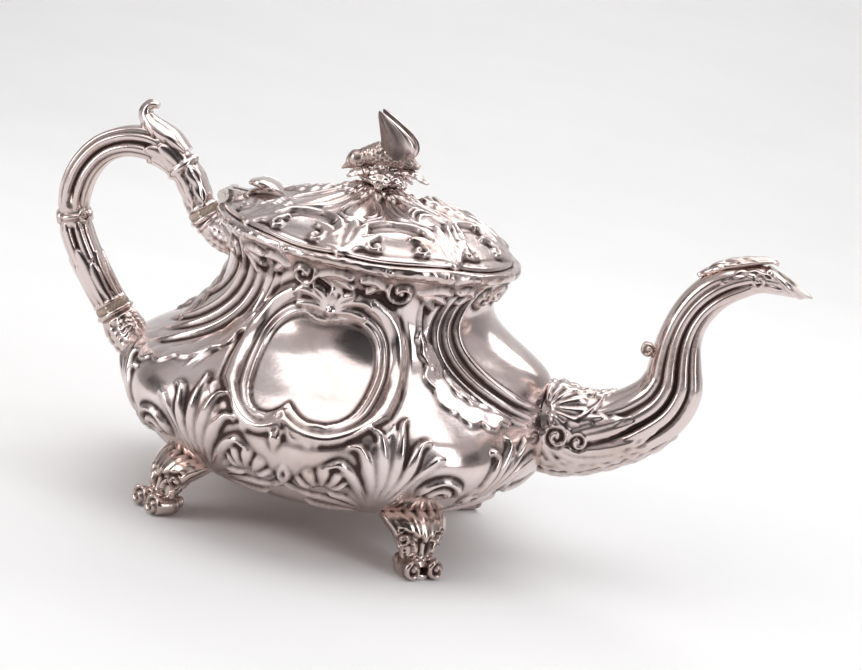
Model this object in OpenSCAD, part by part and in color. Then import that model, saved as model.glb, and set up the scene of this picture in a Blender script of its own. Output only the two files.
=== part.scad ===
// Silver teapot on four scroll feet, with a hinged lid, a bird finial and ivory handle insulators.
// Frame: +X is the way the spout points, +Z is up, and the origin is the point on the table
// under the body's centre line. Millimetres.

/* [Body] */
// Largest radius of the belly
belly_r = 88; // [86:0.5:90]
// Depth of the eight soft lobes round the belly
lobe_depth = 2; // [0:0.1:3]
// Thickness of the raised silver sheet
wall = 1.6; // [1.4:0.1:1.8]
// How far the smooth panel above the spout swells out of the shoulder
panel_swell = 22; // [20:0.5:24]

/* [Lid] */
// Height of the lid's crown above its edge
lid_rise = 21; // [19:0.5:22]
// Thickness of the lid's sheet
lid_wall = 1.4; // [1.2:0.1:1.6]
// How much the dome leans up on the spout side
lean_front = 5.5; // [5:0.25:5.75]
// How much it leans down on the hinge side
lean_back = 3; // [2.75:0.25:3.25]

/* [Hinge] */
// Radius of the hinge pin
pin_r = 1.1; // [1:0.05:1.2]
// Outer radius of the hinge knuckles
knuckle_r = 2.4; // [2.3:0.05:2.4]
// Running clearance between the pin and the lid's knuckles
pin_gap = 0.05; // [0.03:0.01:0.08]

/* [Handle] */
// Half thickness of the handle in its own plane
handle_t = 6; // [5:0.25:6.5]
// Half width of the handle across its plane
handle_w = 6.5; // [5.5:0.25:7]
// Thickness of each ivory insulator
insulator_h = 3; // [2.5:0.25:3.5]

/* [Feet] */
// Distance of the toes from the centre line
toe_reach = 76; // [73:0.5:78]
// Angle of the feet from the spout's line
foot_angle = 45; // [42:1:48]

/* [Hidden] */

silver = [0.80, 0.77, 0.74];
dark_silver = [0.62, 0.58, 0.56];
ivory = [0.93, 0.89, 0.78];

body_segments = 48;
rim_base_z = 112;
rim_top_z = 117;
rim_in_r = 54.5;
seam_gap = 0.3;
lid_edge_z = rim_top_z + seam_gap;
lid_r = 59;
hinge_x = -59.5;
hinge_z = rim_top_z + knuckle_r + 0.4;
hinge_notch_half = 10.2;
hinge_notch_x = -70;
spout_axis_z = 57;
strainer_r = 12;
weld = 0.6;

// Outer profile of the body as [share of the belly radius, height], from the base to the rim
body_profile = [[0.52, 17], [0.64, 18.5], [0.75, 23], [0.875, 31], [0.966, 39.5], [1, 47.5],
                [0.975, 56], [0.9, 62.5], [0.8, 68.5], [0.7, 76], [0.632, 85], [0.604, 94],
                [0.61, 101], [0.638, 107], [0.678, rim_base_z]];

// Centre line of the handle as [x, z], from the upper socket over the top and down to the lower one
handle_line = [[-67, 108.5], [-70.5, 113], [-75, 120.5], [-81, 126.5], [-88.5, 130.5], [-96.5, 132],
               [-105.5, 130.5], [-114.3, 125], [-120.3, 115.5], [-122.3, 104],
               [-119.8, 92.5], [-114, 82], [-106.5, 72], [-99.5, 63.5], [-93, 56]];

// Stations of the spout: [x, z, half height, half width, tilt of the section from upright]
spout_stations = [[83.5, 57.5, 17.4, 14.4, 0], [89, 57.3, 18.2, 15, 0], [97, 57.5, 17.3, 14, 4],
                  [105, 59.5, 15.8, 13, 12], [113, 63, 14.6, 12.2, 22], [121.5, 69, 13.8, 11.4, 38],
                  [128.5, 76.5, 13.4, 10.8, 56], [131.4, 85.5, 12.3, 10, 78],
                  [130.2, 94.5, 10.3, 9, 94], [129.6, 103, 8.9, 8.2, 92], [130.8, 111.5, 8, 7.6, 78],
                  [134, 119.5, 7.7, 7.2, 62], [139.5, 126.5, 7.6, 7, 48], [146.5, 131.5, 7, 6.8, 36],
                  [154.5, 134.6, 6.2, 6.8, 36], [167.6, 135.5, 9.4, 6.6, 66]];

// Builds a closed skin from rings of points: capped ends, or joined end to end
module skin(rings, capped) {
    m = len(rings[0]);
    n = len(rings);
    sides = [for (i = [0 : n - (capped ? 2 : 1)], j = [0 : m - 1], half = [0, 1])
        let (a = i * m, b = ((i + 1) % n) * m, k = (j + 1) % m)
        half == 0 ? [a + j, b + j, b + k] : [a + j, b + k, a + k]];
    ends = capped ? [[for (j = [0 : m - 1]) j], [for (j = [m - 1 : -1 : 0]) (n - 1) * m + j]] : [];
    polyhedron(points = [for (ring = rings) each ring], faces = concat(sides, ends));
}

// One ring of an upright-plane sweep: an ellipse whose height direction is tilted by turn
function section(x, z, half_h, half_w, turn, count) =
    [for (j = [0 : count - 1]) let (a = 360 * j / count)
        [x - half_h * cos(a) * sin(turn), -half_w * sin(a), z + half_h * cos(a) * cos(turn)]];

// Rings of a sweep along a line of [x, z], with a half height and a half width for each point
function line_turn(line, i) =
    let (a = line[max(i - 1, 0)], b = line[min(i + 1, len(line) - 1)]) atan2(b[1] - a[1], b[0] - a[0]);
function sweep(line, half_h, half_w, count) =
    [for (i = [0 : len(line) - 1])
        section(line[i][0], line[i][1], half_h[i], half_w[i], line_turn(line, i), count)];

// Point at the share s of the way between two points
function between(a, b, s) = a + (b - a) * s;

function panel_bulge(angle, z) =
    panel_swell * exp(-pow((z - 77) / 13.5, 2)) * exp(-pow((abs(angle) > 180 ? 360 - abs(angle) : angle) / 24, 2));
function lobe(angle, z) = lobe_depth * exp(-pow((z - 42) / 20, 2)) * cos(8 * angle);
function body_ring(share, z, inset) =
    [for (j = [0 : body_segments - 1]) let (a = 360 * j / body_segments - 180)
        let (r = share * belly_r - inset + panel_bulge(a, z) + lobe(a, z))
        [r * cos(a), r * sin(a), z]];

// Raised silver body, open at the neck and pierced for the spout
module body_shell() {
    color(silver) difference() {
        skin(concat([for (p = body_profile) body_ring(p[0], p[1], 0)],
                    [for (i = [len(body_profile) - 1 : -1 : 0]) let (p = body_profile[i])
                        body_ring(p[0], p[1] + (i < 4 ? wall : 0), i < 3 ? wall / 2 : wall)]), true);
        translate([70, 0, spout_axis_z]) rotate([0, 90, 0]) cylinder(h = 30, r = strainer_r, $fn = 48);
    }
}

// Cast moulding soldered round the mouth
module mouth_rim() {
    color(silver) rotate_extrude($fn = 96)
        polygon([[rim_in_r, rim_base_z], [58.5, rim_base_z], [59.6, rim_base_z], [61.2, 113.2],
                 [61.8, 114.6], [61.2, 116], [59.8, rim_top_z], [rim_in_r, rim_top_z]]);
}

// Pierced cup over the spout's root
module strainer() {
    color(dark_silver) translate([79, 0, spout_axis_z]) rotate([0, 90, 0]) difference() {
        cylinder(h = 8.5, r = strainer_r, $fn = 48);
        translate([0, 0, 0.9]) cylinder(h = 9, r = strainer_r - 0.9, $fn = 48);
        for (ring = [[0, 1], [4, 6], [8, 12]], k = [0 : ring[1] - 1])
            rotate([0, 0, 360 * k / ring[1]]) translate([ring[0], 0, -1])
                cylinder(h = 3, r = 1.2, $fn = 16);
    }
}

// Hollow cast spout
module spout() {
    count = 20;
    color(silver) skin(concat(
        [for (s = spout_stations) section(s[0], s[1], s[2], s[3], s[4], count)],
        [for (i = [len(spout_stations) - 1 : -1 : 0]) let (s = spout_stations[i])
            section(s[0], s[1], s[2] - wall, s[3] - wall, s[4], count)]), false);
}

// Leaf crest applied along the top of the beak
module spout_beak_leaf() {
    line = [[132, 131], [138, 135.4], [145, 138.6], [152, 140.8], [159, 142.4]];
    color(silver) skin(sweep(line, [0.8, 1.8, 2, 1.6, 0.5], [1.5, 4, 4.5, 3.5, 1.2], 12), true);
}

// Small volute on the inner side of the spout's rising part
module spout_bend_scroll() {
    color(silver) translate([118.4, -2.5, 97]) rotate([-90, 0, 0]) cylinder(h = 5, r = 2.6, $fn = 32);
}

// Leafy socket on the neck that holds the upper insulator
module handle_socket_upper() {
    color(silver) skin([section(-52.6, 102.5, 7.5, 10, 180, 20), section(-58, 103.4, 6.8, 8.2, 170, 20),
                        section(-63, 105.6, 6.6, 7.2, 150, 20),
                        section(upper_a[0], upper_a[1], 6.8, 7, upper_turn, 20)], true);
}

// Ivory disc square to the handle, from point a towards point b
module insulator(a, turn, r) {
    color(ivory) translate([a[0], 0, a[1]]) rotate([0, 90 - turn, 0]) cylinder(h = insulator_h, r = r, $fn = 40);
}
upper_a = handle_line[0];
upper_b = handle_line[1];
upper_turn = line_turn([upper_a, upper_b], 0);
upper_share = insulator_h / norm(upper_b - upper_a);
lower_a = handle_line[13];
lower_b = handle_line[14];
lower_turn = line_turn([lower_a, lower_b], 0);
lower_share = insulator_h / norm(lower_b - lower_a);

module insulator_upper() insulator(upper_a, upper_turn, 6.6);
module insulator_lower() insulator(lower_a, lower_turn, 7.2);

// Cast loop of the handle between the two insulators
module handle_loop() {
    start = between(upper_a, upper_b, upper_share);
    line = [for (i = [1 : 12]) handle_line[i]];
    half_h = [for (i = [0 : len(line) - 1]) handle_t + (i == 3 ? 1 : 0)];
    half_w = [for (h = half_h) h + handle_w - handle_t];
    color(silver) skin(concat([section(start[0], start[1], handle_t, handle_w, upper_turn, 16)],
                              sweep(line, half_h, half_w, 16),
                              [section(lower_a[0], lower_a[1], 6.6, 7, lower_turn, 16)]), true);
}

// Acanthus cap over the top of the loop, ending in a curled spur
module handle_cap_leaf() {
    line = [[-80, 134], [-86, 136.6], [-92, 138.6], [-96, 141.4], [-98.5, 145.6]];
    color(silver) skin(sweep(line, [1.4, 2.4, 2.6, 2, 1.1], [4, 5.5, 4.5, 3, 2], 12), true);
}

// Leafy socket on the belly that holds the lower insulator
module handle_socket_lower() {
    start = between(lower_a, lower_b, lower_share);
    color(silver) skin([section(start[0], start[1], 7.4, 7.6, lower_turn, 20),
                        section(lower_b[0], lower_b[1], 7.4, 8, -42, 20),
                        section(-89.4, 52.8, 7.4, 9.6, -26, 20),
                        section(-85.6, 50.3, 7.5, 12, -8, 20)], true);
}

// Four cross pins that hold the insulators, two to each
module insulator_pins() {
    color(dark_silver)
    for (p = [[upper_a, upper_b, upper_share], [lower_a, lower_b, lower_share]], s = [0.2, 0.8])
        let (q = between(p[0], p[1], p[2] * s))
        translate([q[0], -7.6, q[1]]) rotate([-90, 0, 0]) cylinder(h = 15.2, r = 0.5, $fn = 16);
}

// A stretch of hinge knuckle from y0 to y1 with a bore for the pin
module knuckle(y0, y1, bore_r) {
    translate([hinge_x, y0, hinge_z]) rotate([-90, 0, 0]) difference() {
        cylinder(h = y1 - y0, r = knuckle_r, $fn = 40);
        translate([0, 0, -1]) cylinder(h = y1 - y0 + 2, r = bore_r, $fn = 32);
    }
}

// Three knuckles standing on the rim
module hinge_knuckles_body() {
    color(silver) for (y = [[-9.5, -5.9], [-1.7, 1.7], [5.9, 9.5]]) difference() {
        union() {
            knuckle(y[0], y[1], pin_r);
            translate([hinge_x - 1.5, y[0], rim_top_z - weld])
                cube([3, y[1] - y[0], hinge_z - rim_top_z - knuckle_r + weld + 0.8]);
        }
        translate([hinge_x, y[0] - 1, hinge_z]) rotate([-90, 0, 0])
            cylinder(h = y[1] - y[0] + 2, r = pin_r, $fn = 32);
    }
}

// Two knuckles on a strap that runs under the lid's edge
module hinge_knuckles_lid() {
    color(silver) for (y = [[-5.6, -2], [2, 5.6]]) difference() {
        union() {
            knuckle(y[0], y[1], pin_r + pin_gap);
            translate([hinge_x, y[0], hinge_z + 0.2]) cube([9.5, y[1] - y[0], knuckle_r - 0.2]);
        }
        translate([hinge_x, y[0] - 1, hinge_z]) rotate([-90, 0, 0])
            cylinder(h = y[1] - y[0] + 2, r = pin_r + pin_gap, $fn = 32);
    }
}

// Straight pin through all five knuckles
module hinge_pin() {
    color(dark_silver) translate([hinge_x, -9.9, hinge_z]) rotate([-90, 0, 0])
        cylinder(h = 19.8, r = pin_r, $fn = 32);
}

// Shell-shaped leaf that stands over the hinge
module hinge_thumbpiece() {
    line = [[-37.5, 124.4], [-41.5, 126.4], [-46, 127.4], [-51, 126.4]];
    color(silver) skin(sweep(line, [1.2, 1.6, 1.4, 0.7], [5, 8, 9, 6], 16), true);
}

// How far the dome leans up or down at x: its middle zone stands higher towards the spout
function lid_lean(x) = (x > 0 ? lean_front : lean_back) * x / lid_r;

// Height of the lid's outer face above its edge, at the share s of its radius
function lid_height(s, x) =
    lid_rise * (0.30 * pow(cos(90 * pow(s, 3)), 0.8) + 0.70 * pow(1 - pow(s, 0.9), 1.25))
    + lid_lean(x) * sin(180 * min(s, 1));
lid_shares = [1, 0.985, 0.95, 0.88, 0.78, 0.66, 0.53, 0.4, 0.27, 0.15, 0.07];
function lid_ring(s, drop, inset) =
    [for (j = [0 : body_segments - 1])
        let (a = 360 * j / body_segments, r = s * (lid_r - inset), x = r * cos(a))
        [x, r * sin(a), lid_edge_z + max(lid_height(s, x) - drop, 0)]];

// Raised dome of the lid, cut away where the hinge stands
module lid_shell() {
    color(silver) difference() {
        skin(concat([for (s = lid_shares) lid_ring(s, 0, 0)],
                    [[for (j = [0 : body_segments - 1]) let (a = 360 * j / body_segments)
                        [cos(a), sin(a), lid_edge_z + lid_rise]]],
                    [[for (j = [0 : body_segments - 1]) let (a = 360 * j / body_segments)
                        [cos(a), sin(a), lid_edge_z + lid_rise - lid_wall]]],
                    [for (i = [len(lid_shares) - 1 : -1 : 0]) lid_ring(lid_shares[i], lid_wall, lid_wall)]), false);
        translate([hinge_notch_x, -hinge_notch_half, lid_edge_z - 5])
            cube([-56.5 - hinge_notch_x, 2 * hinge_notch_half, 8.5]);
    }
}

// Inner flange that drops into the mouth
module lid_bezel() {
    color(silver) difference() {
        rotate_extrude($fn = 96)
            polygon([[51.8, 113], [53.2, 113], [53.2, 117.5], [55.2, 117.5], [55.2, 118.4], [51.8, 118.4]]);
        translate([hinge_notch_x, -hinge_notch_half, 117.4])
            cube([-53.2 - hinge_notch_x, 2 * hinge_notch_half, 2]);
    }
}

finial_z = lid_edge_z + lid_rise;

// Leafy scroll perch on the crown of the lid
module finial_perch() {
    color(silver) {
        translate([0, 0, finial_z - 0.8]) rotate_extrude($fn = 48)
            polygon([[1.6, 0], [7, 0], [7.5, 1], [5.5, 2.4], [4.2, 4], [4.6, 6], [3, 7.6], [1.6, 7.6]]);
        for (p = [[-8.5, 3.4, 3], [8.5, 3, 2.8], [13, 3.4, 2.2]])
            translate([p[0], -3, finial_z + p[1]]) rotate([-90, 0, 0]) cylinder(h = 6, r = p[2], $fn = 32);
    }
}

// Small bird facing the handle, with its wings raised
module finial_bird() {
    base = finial_z + 6.8;
    color(silver) {
        hull() {
            translate([-5.5, 0, base + 4]) sphere(r = 3, $fn = 24);
            translate([4, 0, base + 3]) sphere(r = 3.6, $fn = 24);
        }
        hull() {
            translate([4, 0, base + 3]) sphere(r = 2.4, $fn = 20);
            translate([12, 0, base + 1]) sphere(r = 1.3, $fn = 16);
        }
        hull() {
            translate([-5.5, 0, base + 5]) sphere(r = 2.2, $fn = 20);
            translate([-8.8, 0, base + 7.6]) sphere(r = 2.3, $fn = 20);
        }
        for (side = [-1, 1]) hull() {
            translate([3, side * 3, base + 4]) sphere(r = 1.6, $fn = 16);
            translate([8.5, side * 4.6, base + 11]) sphere(r = 1, $fn = 16);
            translate([-5, side * 4.6, base + 20.5]) sphere(r = 0.9, $fn = 16);
        }
    }
}

// Threaded stud that holds the finial, and the nut on it under the crown
module finial_stud() {
    color(dark_silver) translate([0, 0, finial_z - 7]) cylinder(h = 13.5, r = 1.6, $fn = 32);
}
module finial_nut() {
    color(dark_silver) translate([0, 0, finial_z - 6.6]) difference() {
        cylinder(h = 3.2, r = 4, $fn = 6);
        translate([0, 0, -1]) cylinder(h = 6, r = 1.6, $fn = 32);
    }
}

// Cast scroll foot that stands out along +X, with a broad knee and two volute toes
module scroll_foot() {
    line = [[toe_reach - 15, 20.8], [toe_reach - 10, 19.2], [toe_reach - 6, 15.5], [toe_reach - 4, 11],
            [toe_reach - 2.5, 7], [toe_reach, 3.2]];
    skin(sweep(line, [2.2, 4, 4.2, 3.6, 3.2, 2.8], [12, 11, 8, 5.6, 5.6, 7], 16), true);
    for (side = [-1, 1]) translate([toe_reach - 5, side * 6.5, 4]) rotate([0, 90, 0])
        cylinder(h = 8, r = 4, $fn = 40);
    translate([toe_reach - 1, 0, 0]) cylinder(h = 2.4, r = 4.5, $fn = 40);
}
module foot_front_left() { color(silver) rotate([0, 0, 180 + foot_angle]) scroll_foot(); }
module foot_front_right() { color(silver) rotate([0, 0, -foot_angle]) scroll_foot(); }
module foot_back_left() { color(silver) rotate([0, 0, 180 - foot_angle]) scroll_foot(); }
module foot_back_right() { color(silver) rotate([0, 0, foot_angle]) scroll_foot(); }

body_shell();
mouth_rim();
strainer();
spout();
spout_beak_leaf();
spout_bend_scroll();
handle_socket_upper();
insulator_upper();
handle_loop();
handle_cap_leaf();
insulator_lower();
handle_socket_lower();
insulator_pins();
hinge_knuckles_body();
hinge_knuckles_lid();
hinge_pin();
hinge_thumbpiece();
lid_shell();
lid_bezel();
finial_perch();
finial_bird();
finial_stud();
finial_nut();
foot_front_left();
foot_front_right();
foot_back_left();
foot_back_right();
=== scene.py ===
import math
import bmesh
import bpy
import numpy as np
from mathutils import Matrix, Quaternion, Vector


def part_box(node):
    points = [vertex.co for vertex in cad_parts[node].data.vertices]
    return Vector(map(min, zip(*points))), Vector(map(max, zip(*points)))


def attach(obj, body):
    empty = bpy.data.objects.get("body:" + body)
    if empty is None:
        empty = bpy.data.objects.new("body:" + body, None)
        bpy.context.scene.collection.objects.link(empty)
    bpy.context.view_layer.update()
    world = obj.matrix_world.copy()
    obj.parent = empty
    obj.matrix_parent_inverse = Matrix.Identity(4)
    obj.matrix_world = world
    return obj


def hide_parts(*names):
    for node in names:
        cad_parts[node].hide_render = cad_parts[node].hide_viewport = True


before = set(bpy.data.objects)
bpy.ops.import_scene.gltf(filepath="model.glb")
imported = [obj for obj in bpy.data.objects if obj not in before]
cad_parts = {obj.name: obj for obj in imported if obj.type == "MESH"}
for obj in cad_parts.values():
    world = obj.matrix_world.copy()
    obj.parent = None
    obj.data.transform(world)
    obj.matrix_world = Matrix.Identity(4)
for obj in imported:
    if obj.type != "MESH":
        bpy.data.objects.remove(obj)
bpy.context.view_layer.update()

MM = 0.001

# ---------------------------------------------------------------------------------------------
# Body: a pear-shaped pot of sheet silver, raised in two halves soldered below the spout and the
# handle. It is chased with scrolls, acanthus, shells and a mirror-bright reserve on each side.
# ---------------------------------------------------------------------------------------------

HALF_COLUMNS = 481
BODY_ROWS = 200
LOBES = 8
LOBE_DEPTH = 2.0
LOBE_Z = 42
LOBE_TALL = 20
PANEL_SWELL = 22.0
PANEL_Z = 77
PANEL_TALL = 13.5
PANEL_WIDE = 24
SHEET = 1.6
SPOUT_SIDE_X = 40
RIM_BASE_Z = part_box("mouth_rim")[0].z / MM
BELLY_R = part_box("body_shell")[1].y / MM - LOBE_DEPTH
STRAINER_Z = 57.0
STRAINER_R = 12.0

# Outline as [share of the belly's radius, height], from the base up to the rim
BODY_OUTLINE = [[0.52, 17], [0.64, 18.5], [0.75, 23], [0.875, 31], [0.966, 39.5], [1, 47.5], [0.975, 56],
                [0.9, 62.5], [0.8, 68.5], [0.7, 76], [0.632, 85], [0.604, 94], [0.61, 101], [0.638, 107],
                [0.678, RIM_BASE_Z]]


def flow(points, count=None):
    """A smooth line through the points. With a count, its steps are even over the first two values."""
    p = np.asarray(points, float)
    q = np.vstack([2 * p[0] - p[1], p, 2 * p[-1] - p[-2]])
    spans = len(p) - 1
    u = np.linspace(0, spans, 10 * spans + 1)
    k = np.minimum(u.astype(int), spans - 1)
    t = (u - k)[:, None]
    a, b, c, d = q[k], q[k + 1], q[k + 2], q[k + 3]
    line = 0.5 * (2 * b + (c - a) * t + (2 * a - 5 * b + 4 * c - d) * t**2 + (3 * b - a - 3 * c + d) * t**3)
    if count is None:
        return line
    steps = np.linalg.norm(np.diff(line[:, :2], axis=0), axis=1)
    run = np.concatenate([[0], np.cumsum(steps)])
    even = np.linspace(0, run[-1], count)
    return np.stack([np.interp(even, run, line[:, i]) for i in range(line.shape[1])], axis=1)


def unit(v):
    return v / np.maximum(np.linalg.norm(v, axis=-1, keepdims=True), 1e-9)


def outward(skin, round_about=True):
    """Outward normals of a skin of rings, which run anticlockwise seen from its far end."""
    if round_about:
        around = np.roll(skin, -1, axis=1) - np.roll(skin, 1, axis=1)
    else:
        around = np.gradient(skin, axis=1)
        around[:, [0, -1], 0] = 0
    along = np.gradient(skin, axis=0)
    return unit(np.cross(around, along))


def soften(field, times, round_about=True):
    """The field blurred over its neighbours. A half skin is blurred as if its mirror half were there."""
    for _ in range(times):
        padded = np.pad(field, ((0, 0), (1, 1)), mode="wrap" if round_about else "reflect")
        field = (padded[:, :-2] + 2 * field + padded[:, 2:]) / 4
        padded = np.pad(field, ((1, 1), (0, 0)), mode="edge")
        field = (padded[:-2] + 2 * field + padded[2:]) / 4
    return field


class Chasing:
    """The height of the chased work over a skin, which is the same on both sides of the pot."""

    def __init__(self, skin, both_sides=True, round_about=True):
        self.skin = skin
        self.round_about = round_about
        self.normal = outward(skin, round_about)
        self.height = np.zeros(skin.shape[0] * skin.shape[1])
        self.matt = np.zeros_like(self.height)
        self.at = skin.reshape(-1, 3).copy()
        self.up = self.normal.reshape(-1, 3).copy()
        if both_sides:
            far = self.at[:, 1] > 0
            self.at[far, 1] *= -1
            self.up[far, 1] *= -1

    def near(self, path, reach):
        """The points within reach of a path: which, the share of the way along, and the signed offset."""
        inside = np.all((self.at > path.min(axis=0) - reach) & (self.at < path.max(axis=0) + reach), axis=1)
        pick = np.nonzero(inside)[0]
        at = self.at[pick]
        best = np.full(len(pick), 1e9)
        share = np.zeros(len(pick))
        offset = np.zeros(len(pick))
        steps = np.diff(path, axis=0)
        lengths = np.linalg.norm(steps, axis=1)
        done = 0.0
        for start, step, length in zip(path[:-1], steps, lengths):
            away = at - start
            t = np.clip(away @ step / max(length, 1e-6) ** 2, 0, 1)
            gap = away - t[:, None] * step
            far = np.linalg.norm(gap, axis=1)
            closer = far < best
            side = np.sign(np.einsum("ij,ij->i", np.cross(step, gap), self.up[pick]))
            best = np.where(closer, far, best)
            offset = np.where(closer, far * np.where(side == 0, 1, side), offset)
            share = np.where(closer, (done + t * length) / lengths.sum(), share)
            done += length
        keep = best < reach
        return pick[keep], share[keep], offset[keep]

    def lay(self, pick, rise):
        """Lays raised work over what is there, where it stands higher."""
        self.height[pick] = np.where(rise > 0.02, np.maximum(self.height[pick], rise), self.height[pick])

    def bead(self, path, width, height, taper=0.25):
        """A round moulding along the path, thin at its ends."""
        pick, share, offset = self.near(path, width)
        ends = np.clip(np.minimum(share, 1 - share) / max(taper, 1e-3), 0, 1)
        half = width / 2 * (0.3 + 0.7 * ends)
        rise = height * (0.4 + 0.6 * ends) * np.sqrt(np.clip(1 - (offset / half) ** 2, 0, 1))
        self.lay(pick, rise)

    def groove(self, path, width, depth):
        """A chased line along the path."""
        pick, share, offset = self.near(path, 1.5 * width)
        ends = np.clip(np.minimum(share, 1 - share) / 0.12, 0, 1)
        self.height[pick] -= depth * ends * np.exp(-(offset / (width / 2)) ** 2)

    def leaf(self, path, width, height, lobes=4):
        """An acanthus leaf along the path, with lobed edges, ribs and a sunk vein."""
        pick, share, offset = self.near(path, width)
        outline = np.sin(math.pi * np.clip(share, 0.02, 0.98) ** 0.7) ** 0.8
        half = width / 2 * outline * (0.78 + 0.22 * np.abs(np.sin(lobes * math.pi * share)))
        across = np.abs(offset) / np.maximum(half, 0.05)
        ribs = np.cos(2 * math.pi * (lobes * share - 0.6 * np.abs(offset) / (width / 2)))
        rise = height * np.clip(1 - across**2, 0, 1) ** 0.6 * (0.84 + 0.16 * ribs)
        rise -= 0.3 * height * np.exp(-(offset / 0.6) ** 2) * (across < 1)
        self.lay(pick, rise)

    def finger(self, path, width, height):
        """One long lobe of a leaf: narrow at its root, full past its middle and drawn to a point."""
        pick, share, offset = self.near(path, width)
        half = width / 2 * (0.35 + 0.65 * share**0.8) * np.clip((1 - share) / 0.3, 0, 1) ** 0.6
        across = np.abs(offset) / np.maximum(half, 0.05)
        rise = height * (0.5 + 0.5 * share) * np.sqrt(np.clip(1 - across**2, 0, 1))
        self.lay(pick, rise)

    def lap(self, points, scallops, depth, reach, height):
        """A layer that laps over the skin on the left of the path and ends there in a scalloped edge."""
        share = np.linspace(0, 1, len(points))
        down = np.gradient(points, axis=0)
        lift = self.up[np.argmin(np.linalg.norm(self.at - points[len(points) // 2], axis=1))]
        aside = unit(np.cross(down, lift))
        edge = points + aside * (depth * np.abs(np.sin(scallops * math.pi * share)))[:, None]
        pick, share, offset = self.near(edge, reach)
        ends = np.clip(np.minimum(share, 1 - share) / 0.15, 0, 1) ** 0.5
        rise = height * ends * np.clip(1 - offset / reach, 0, 1) ** 0.8 * np.clip(offset / 0.7, 0, 1) ** 0.5
        self.lay(pick, np.where(offset > 0, rise, 0))

    def clear(self, centre, radius, level):
        """Works a round patch down to a level, ready for a scroll to be raised on it."""
        pick, u, v = self.local(centre, radius)[:3]
        share = np.clip((1 - np.hypot(u, v) / radius) * 4, 0, 1)
        self.height[pick] = self.height[pick] * (1 - share) + np.minimum(self.height[pick], level) * share

    def arc(self, centre, far, start, end, width, height):
        """A bead along an arc about a centre, with its angles in degrees from the right."""
        right, rise = self.local(centre, far)[3:]
        swing = np.radians(np.linspace(start, end, 30))
        path = centre + far * (np.outer(np.cos(swing), right) + np.outer(np.sin(swing), rise))
        self.bead(path, width, height, 0.25)

    def local(self, centre, reach):
        """The points within reach of a centre, as steps to the right and upward on the skin."""
        away = self.at - centre
        far = np.linalg.norm(away, axis=1)
        pick = np.nonzero(far < reach)[0]
        lift = self.up[pick[np.argmin(far[pick])]]
        right = unit(np.cross([0, 0, 1.0], lift)) if abs(lift[2]) < 0.97 else np.array([1.0, 0, 0])
        rise = np.cross(lift, right)
        return pick, away[pick] @ right, away[pick] @ rise, right, rise

    def boss(self, centre, radius, height):
        """A round stud."""
        pick, u, v = self.local(centre, radius)[:3]
        rise = height * np.sqrt(np.clip(1 - (u**2 + v**2) / radius**2, 0, 1))
        self.lay(pick, rise)

    def volute(self, centre, radius, start, turn, width, height, turns=1.6):
        """A scroll that winds in from its outside to an eye. start is in degrees, and turn is 1 or -1."""
        right, rise = self.local(centre, radius + width)[3:]
        steps = np.linspace(0, 1, 40)
        angle = np.radians(start) + turn * 2 * math.pi * turns * steps
        far = radius * (1 - 0.8 * steps)
        path = centre + np.outer(far * np.cos(angle), right) + np.outer(far * np.sin(angle), rise)
        pick = self.local(centre, radius)[0]
        self.height[pick] = np.minimum(self.height[pick], 0.1)
        self.bead(path, width, height, 0.1)
        self.boss(centre, 0.24 * radius, height)

    def shell(self, centre, inner, reach, aim, spread, ribs, height):
        """A fan of fluted fingers about a centre. aim and spread are in degrees, from the right."""
        pick, u, v = self.local(centre, 1.1 * reach)[:3]
        far = np.hypot(u, v)
        turn = (np.degrees(np.arctan2(v, u)) - aim + 180) % 360 - 180
        finger = np.abs(np.cos(math.pi * ribs * (turn + spread) / (2 * spread) + math.pi / 2))
        edge = reach * (1 - 0.3 * (turn / spread) ** 2) * (0.86 + 0.14 * finger)
        inside = (np.abs(turn) < spread) & (far < edge) & (far > inner)
        swell = np.sin(math.pi / 2 * np.clip((edge - far) / (0.3 * reach), 0, 1)) ** 0.7
        swell *= np.clip((far - inner) / (0.25 * reach), 0, 1) ** 0.6
        rise = np.where(inside, height * swell * (0.25 + 0.75 * finger**0.7), 0)
        self.lay(pick, rise)

    def ground(self, path, width, depth):
        """Sunk matt ground along the path."""
        pick, share, offset = self.near(path, width)
        inside = np.clip((1 - np.abs(offset) / (width / 2)) * 2, 0, 1)
        self.height[pick] -= depth * inside
        self.matt[pick] = np.maximum(self.matt[pick], 0.4 * inside)

    def raised(self):
        """The skin with its chased work, how deep each point lies in it, and where it is matted."""
        shape = self.skin.shape[:2]
        height = soften(self.height.reshape(shape), 1, self.round_about)
        hollow = np.clip((soften(height, 8, self.round_about) - height) / 0.45 - 0.12, 0, 1)
        wide = np.clip((soften(height, 36, self.round_about) - height) / 1.6 - 0.15, 0, 0.5)
        recess_and_shade = soften(np.maximum(hollow, wide), 1, self.round_about)
        return self.skin + self.normal * height[..., None], recess_and_shade, self.matt.reshape(shape)


WELD = 0.000002


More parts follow.
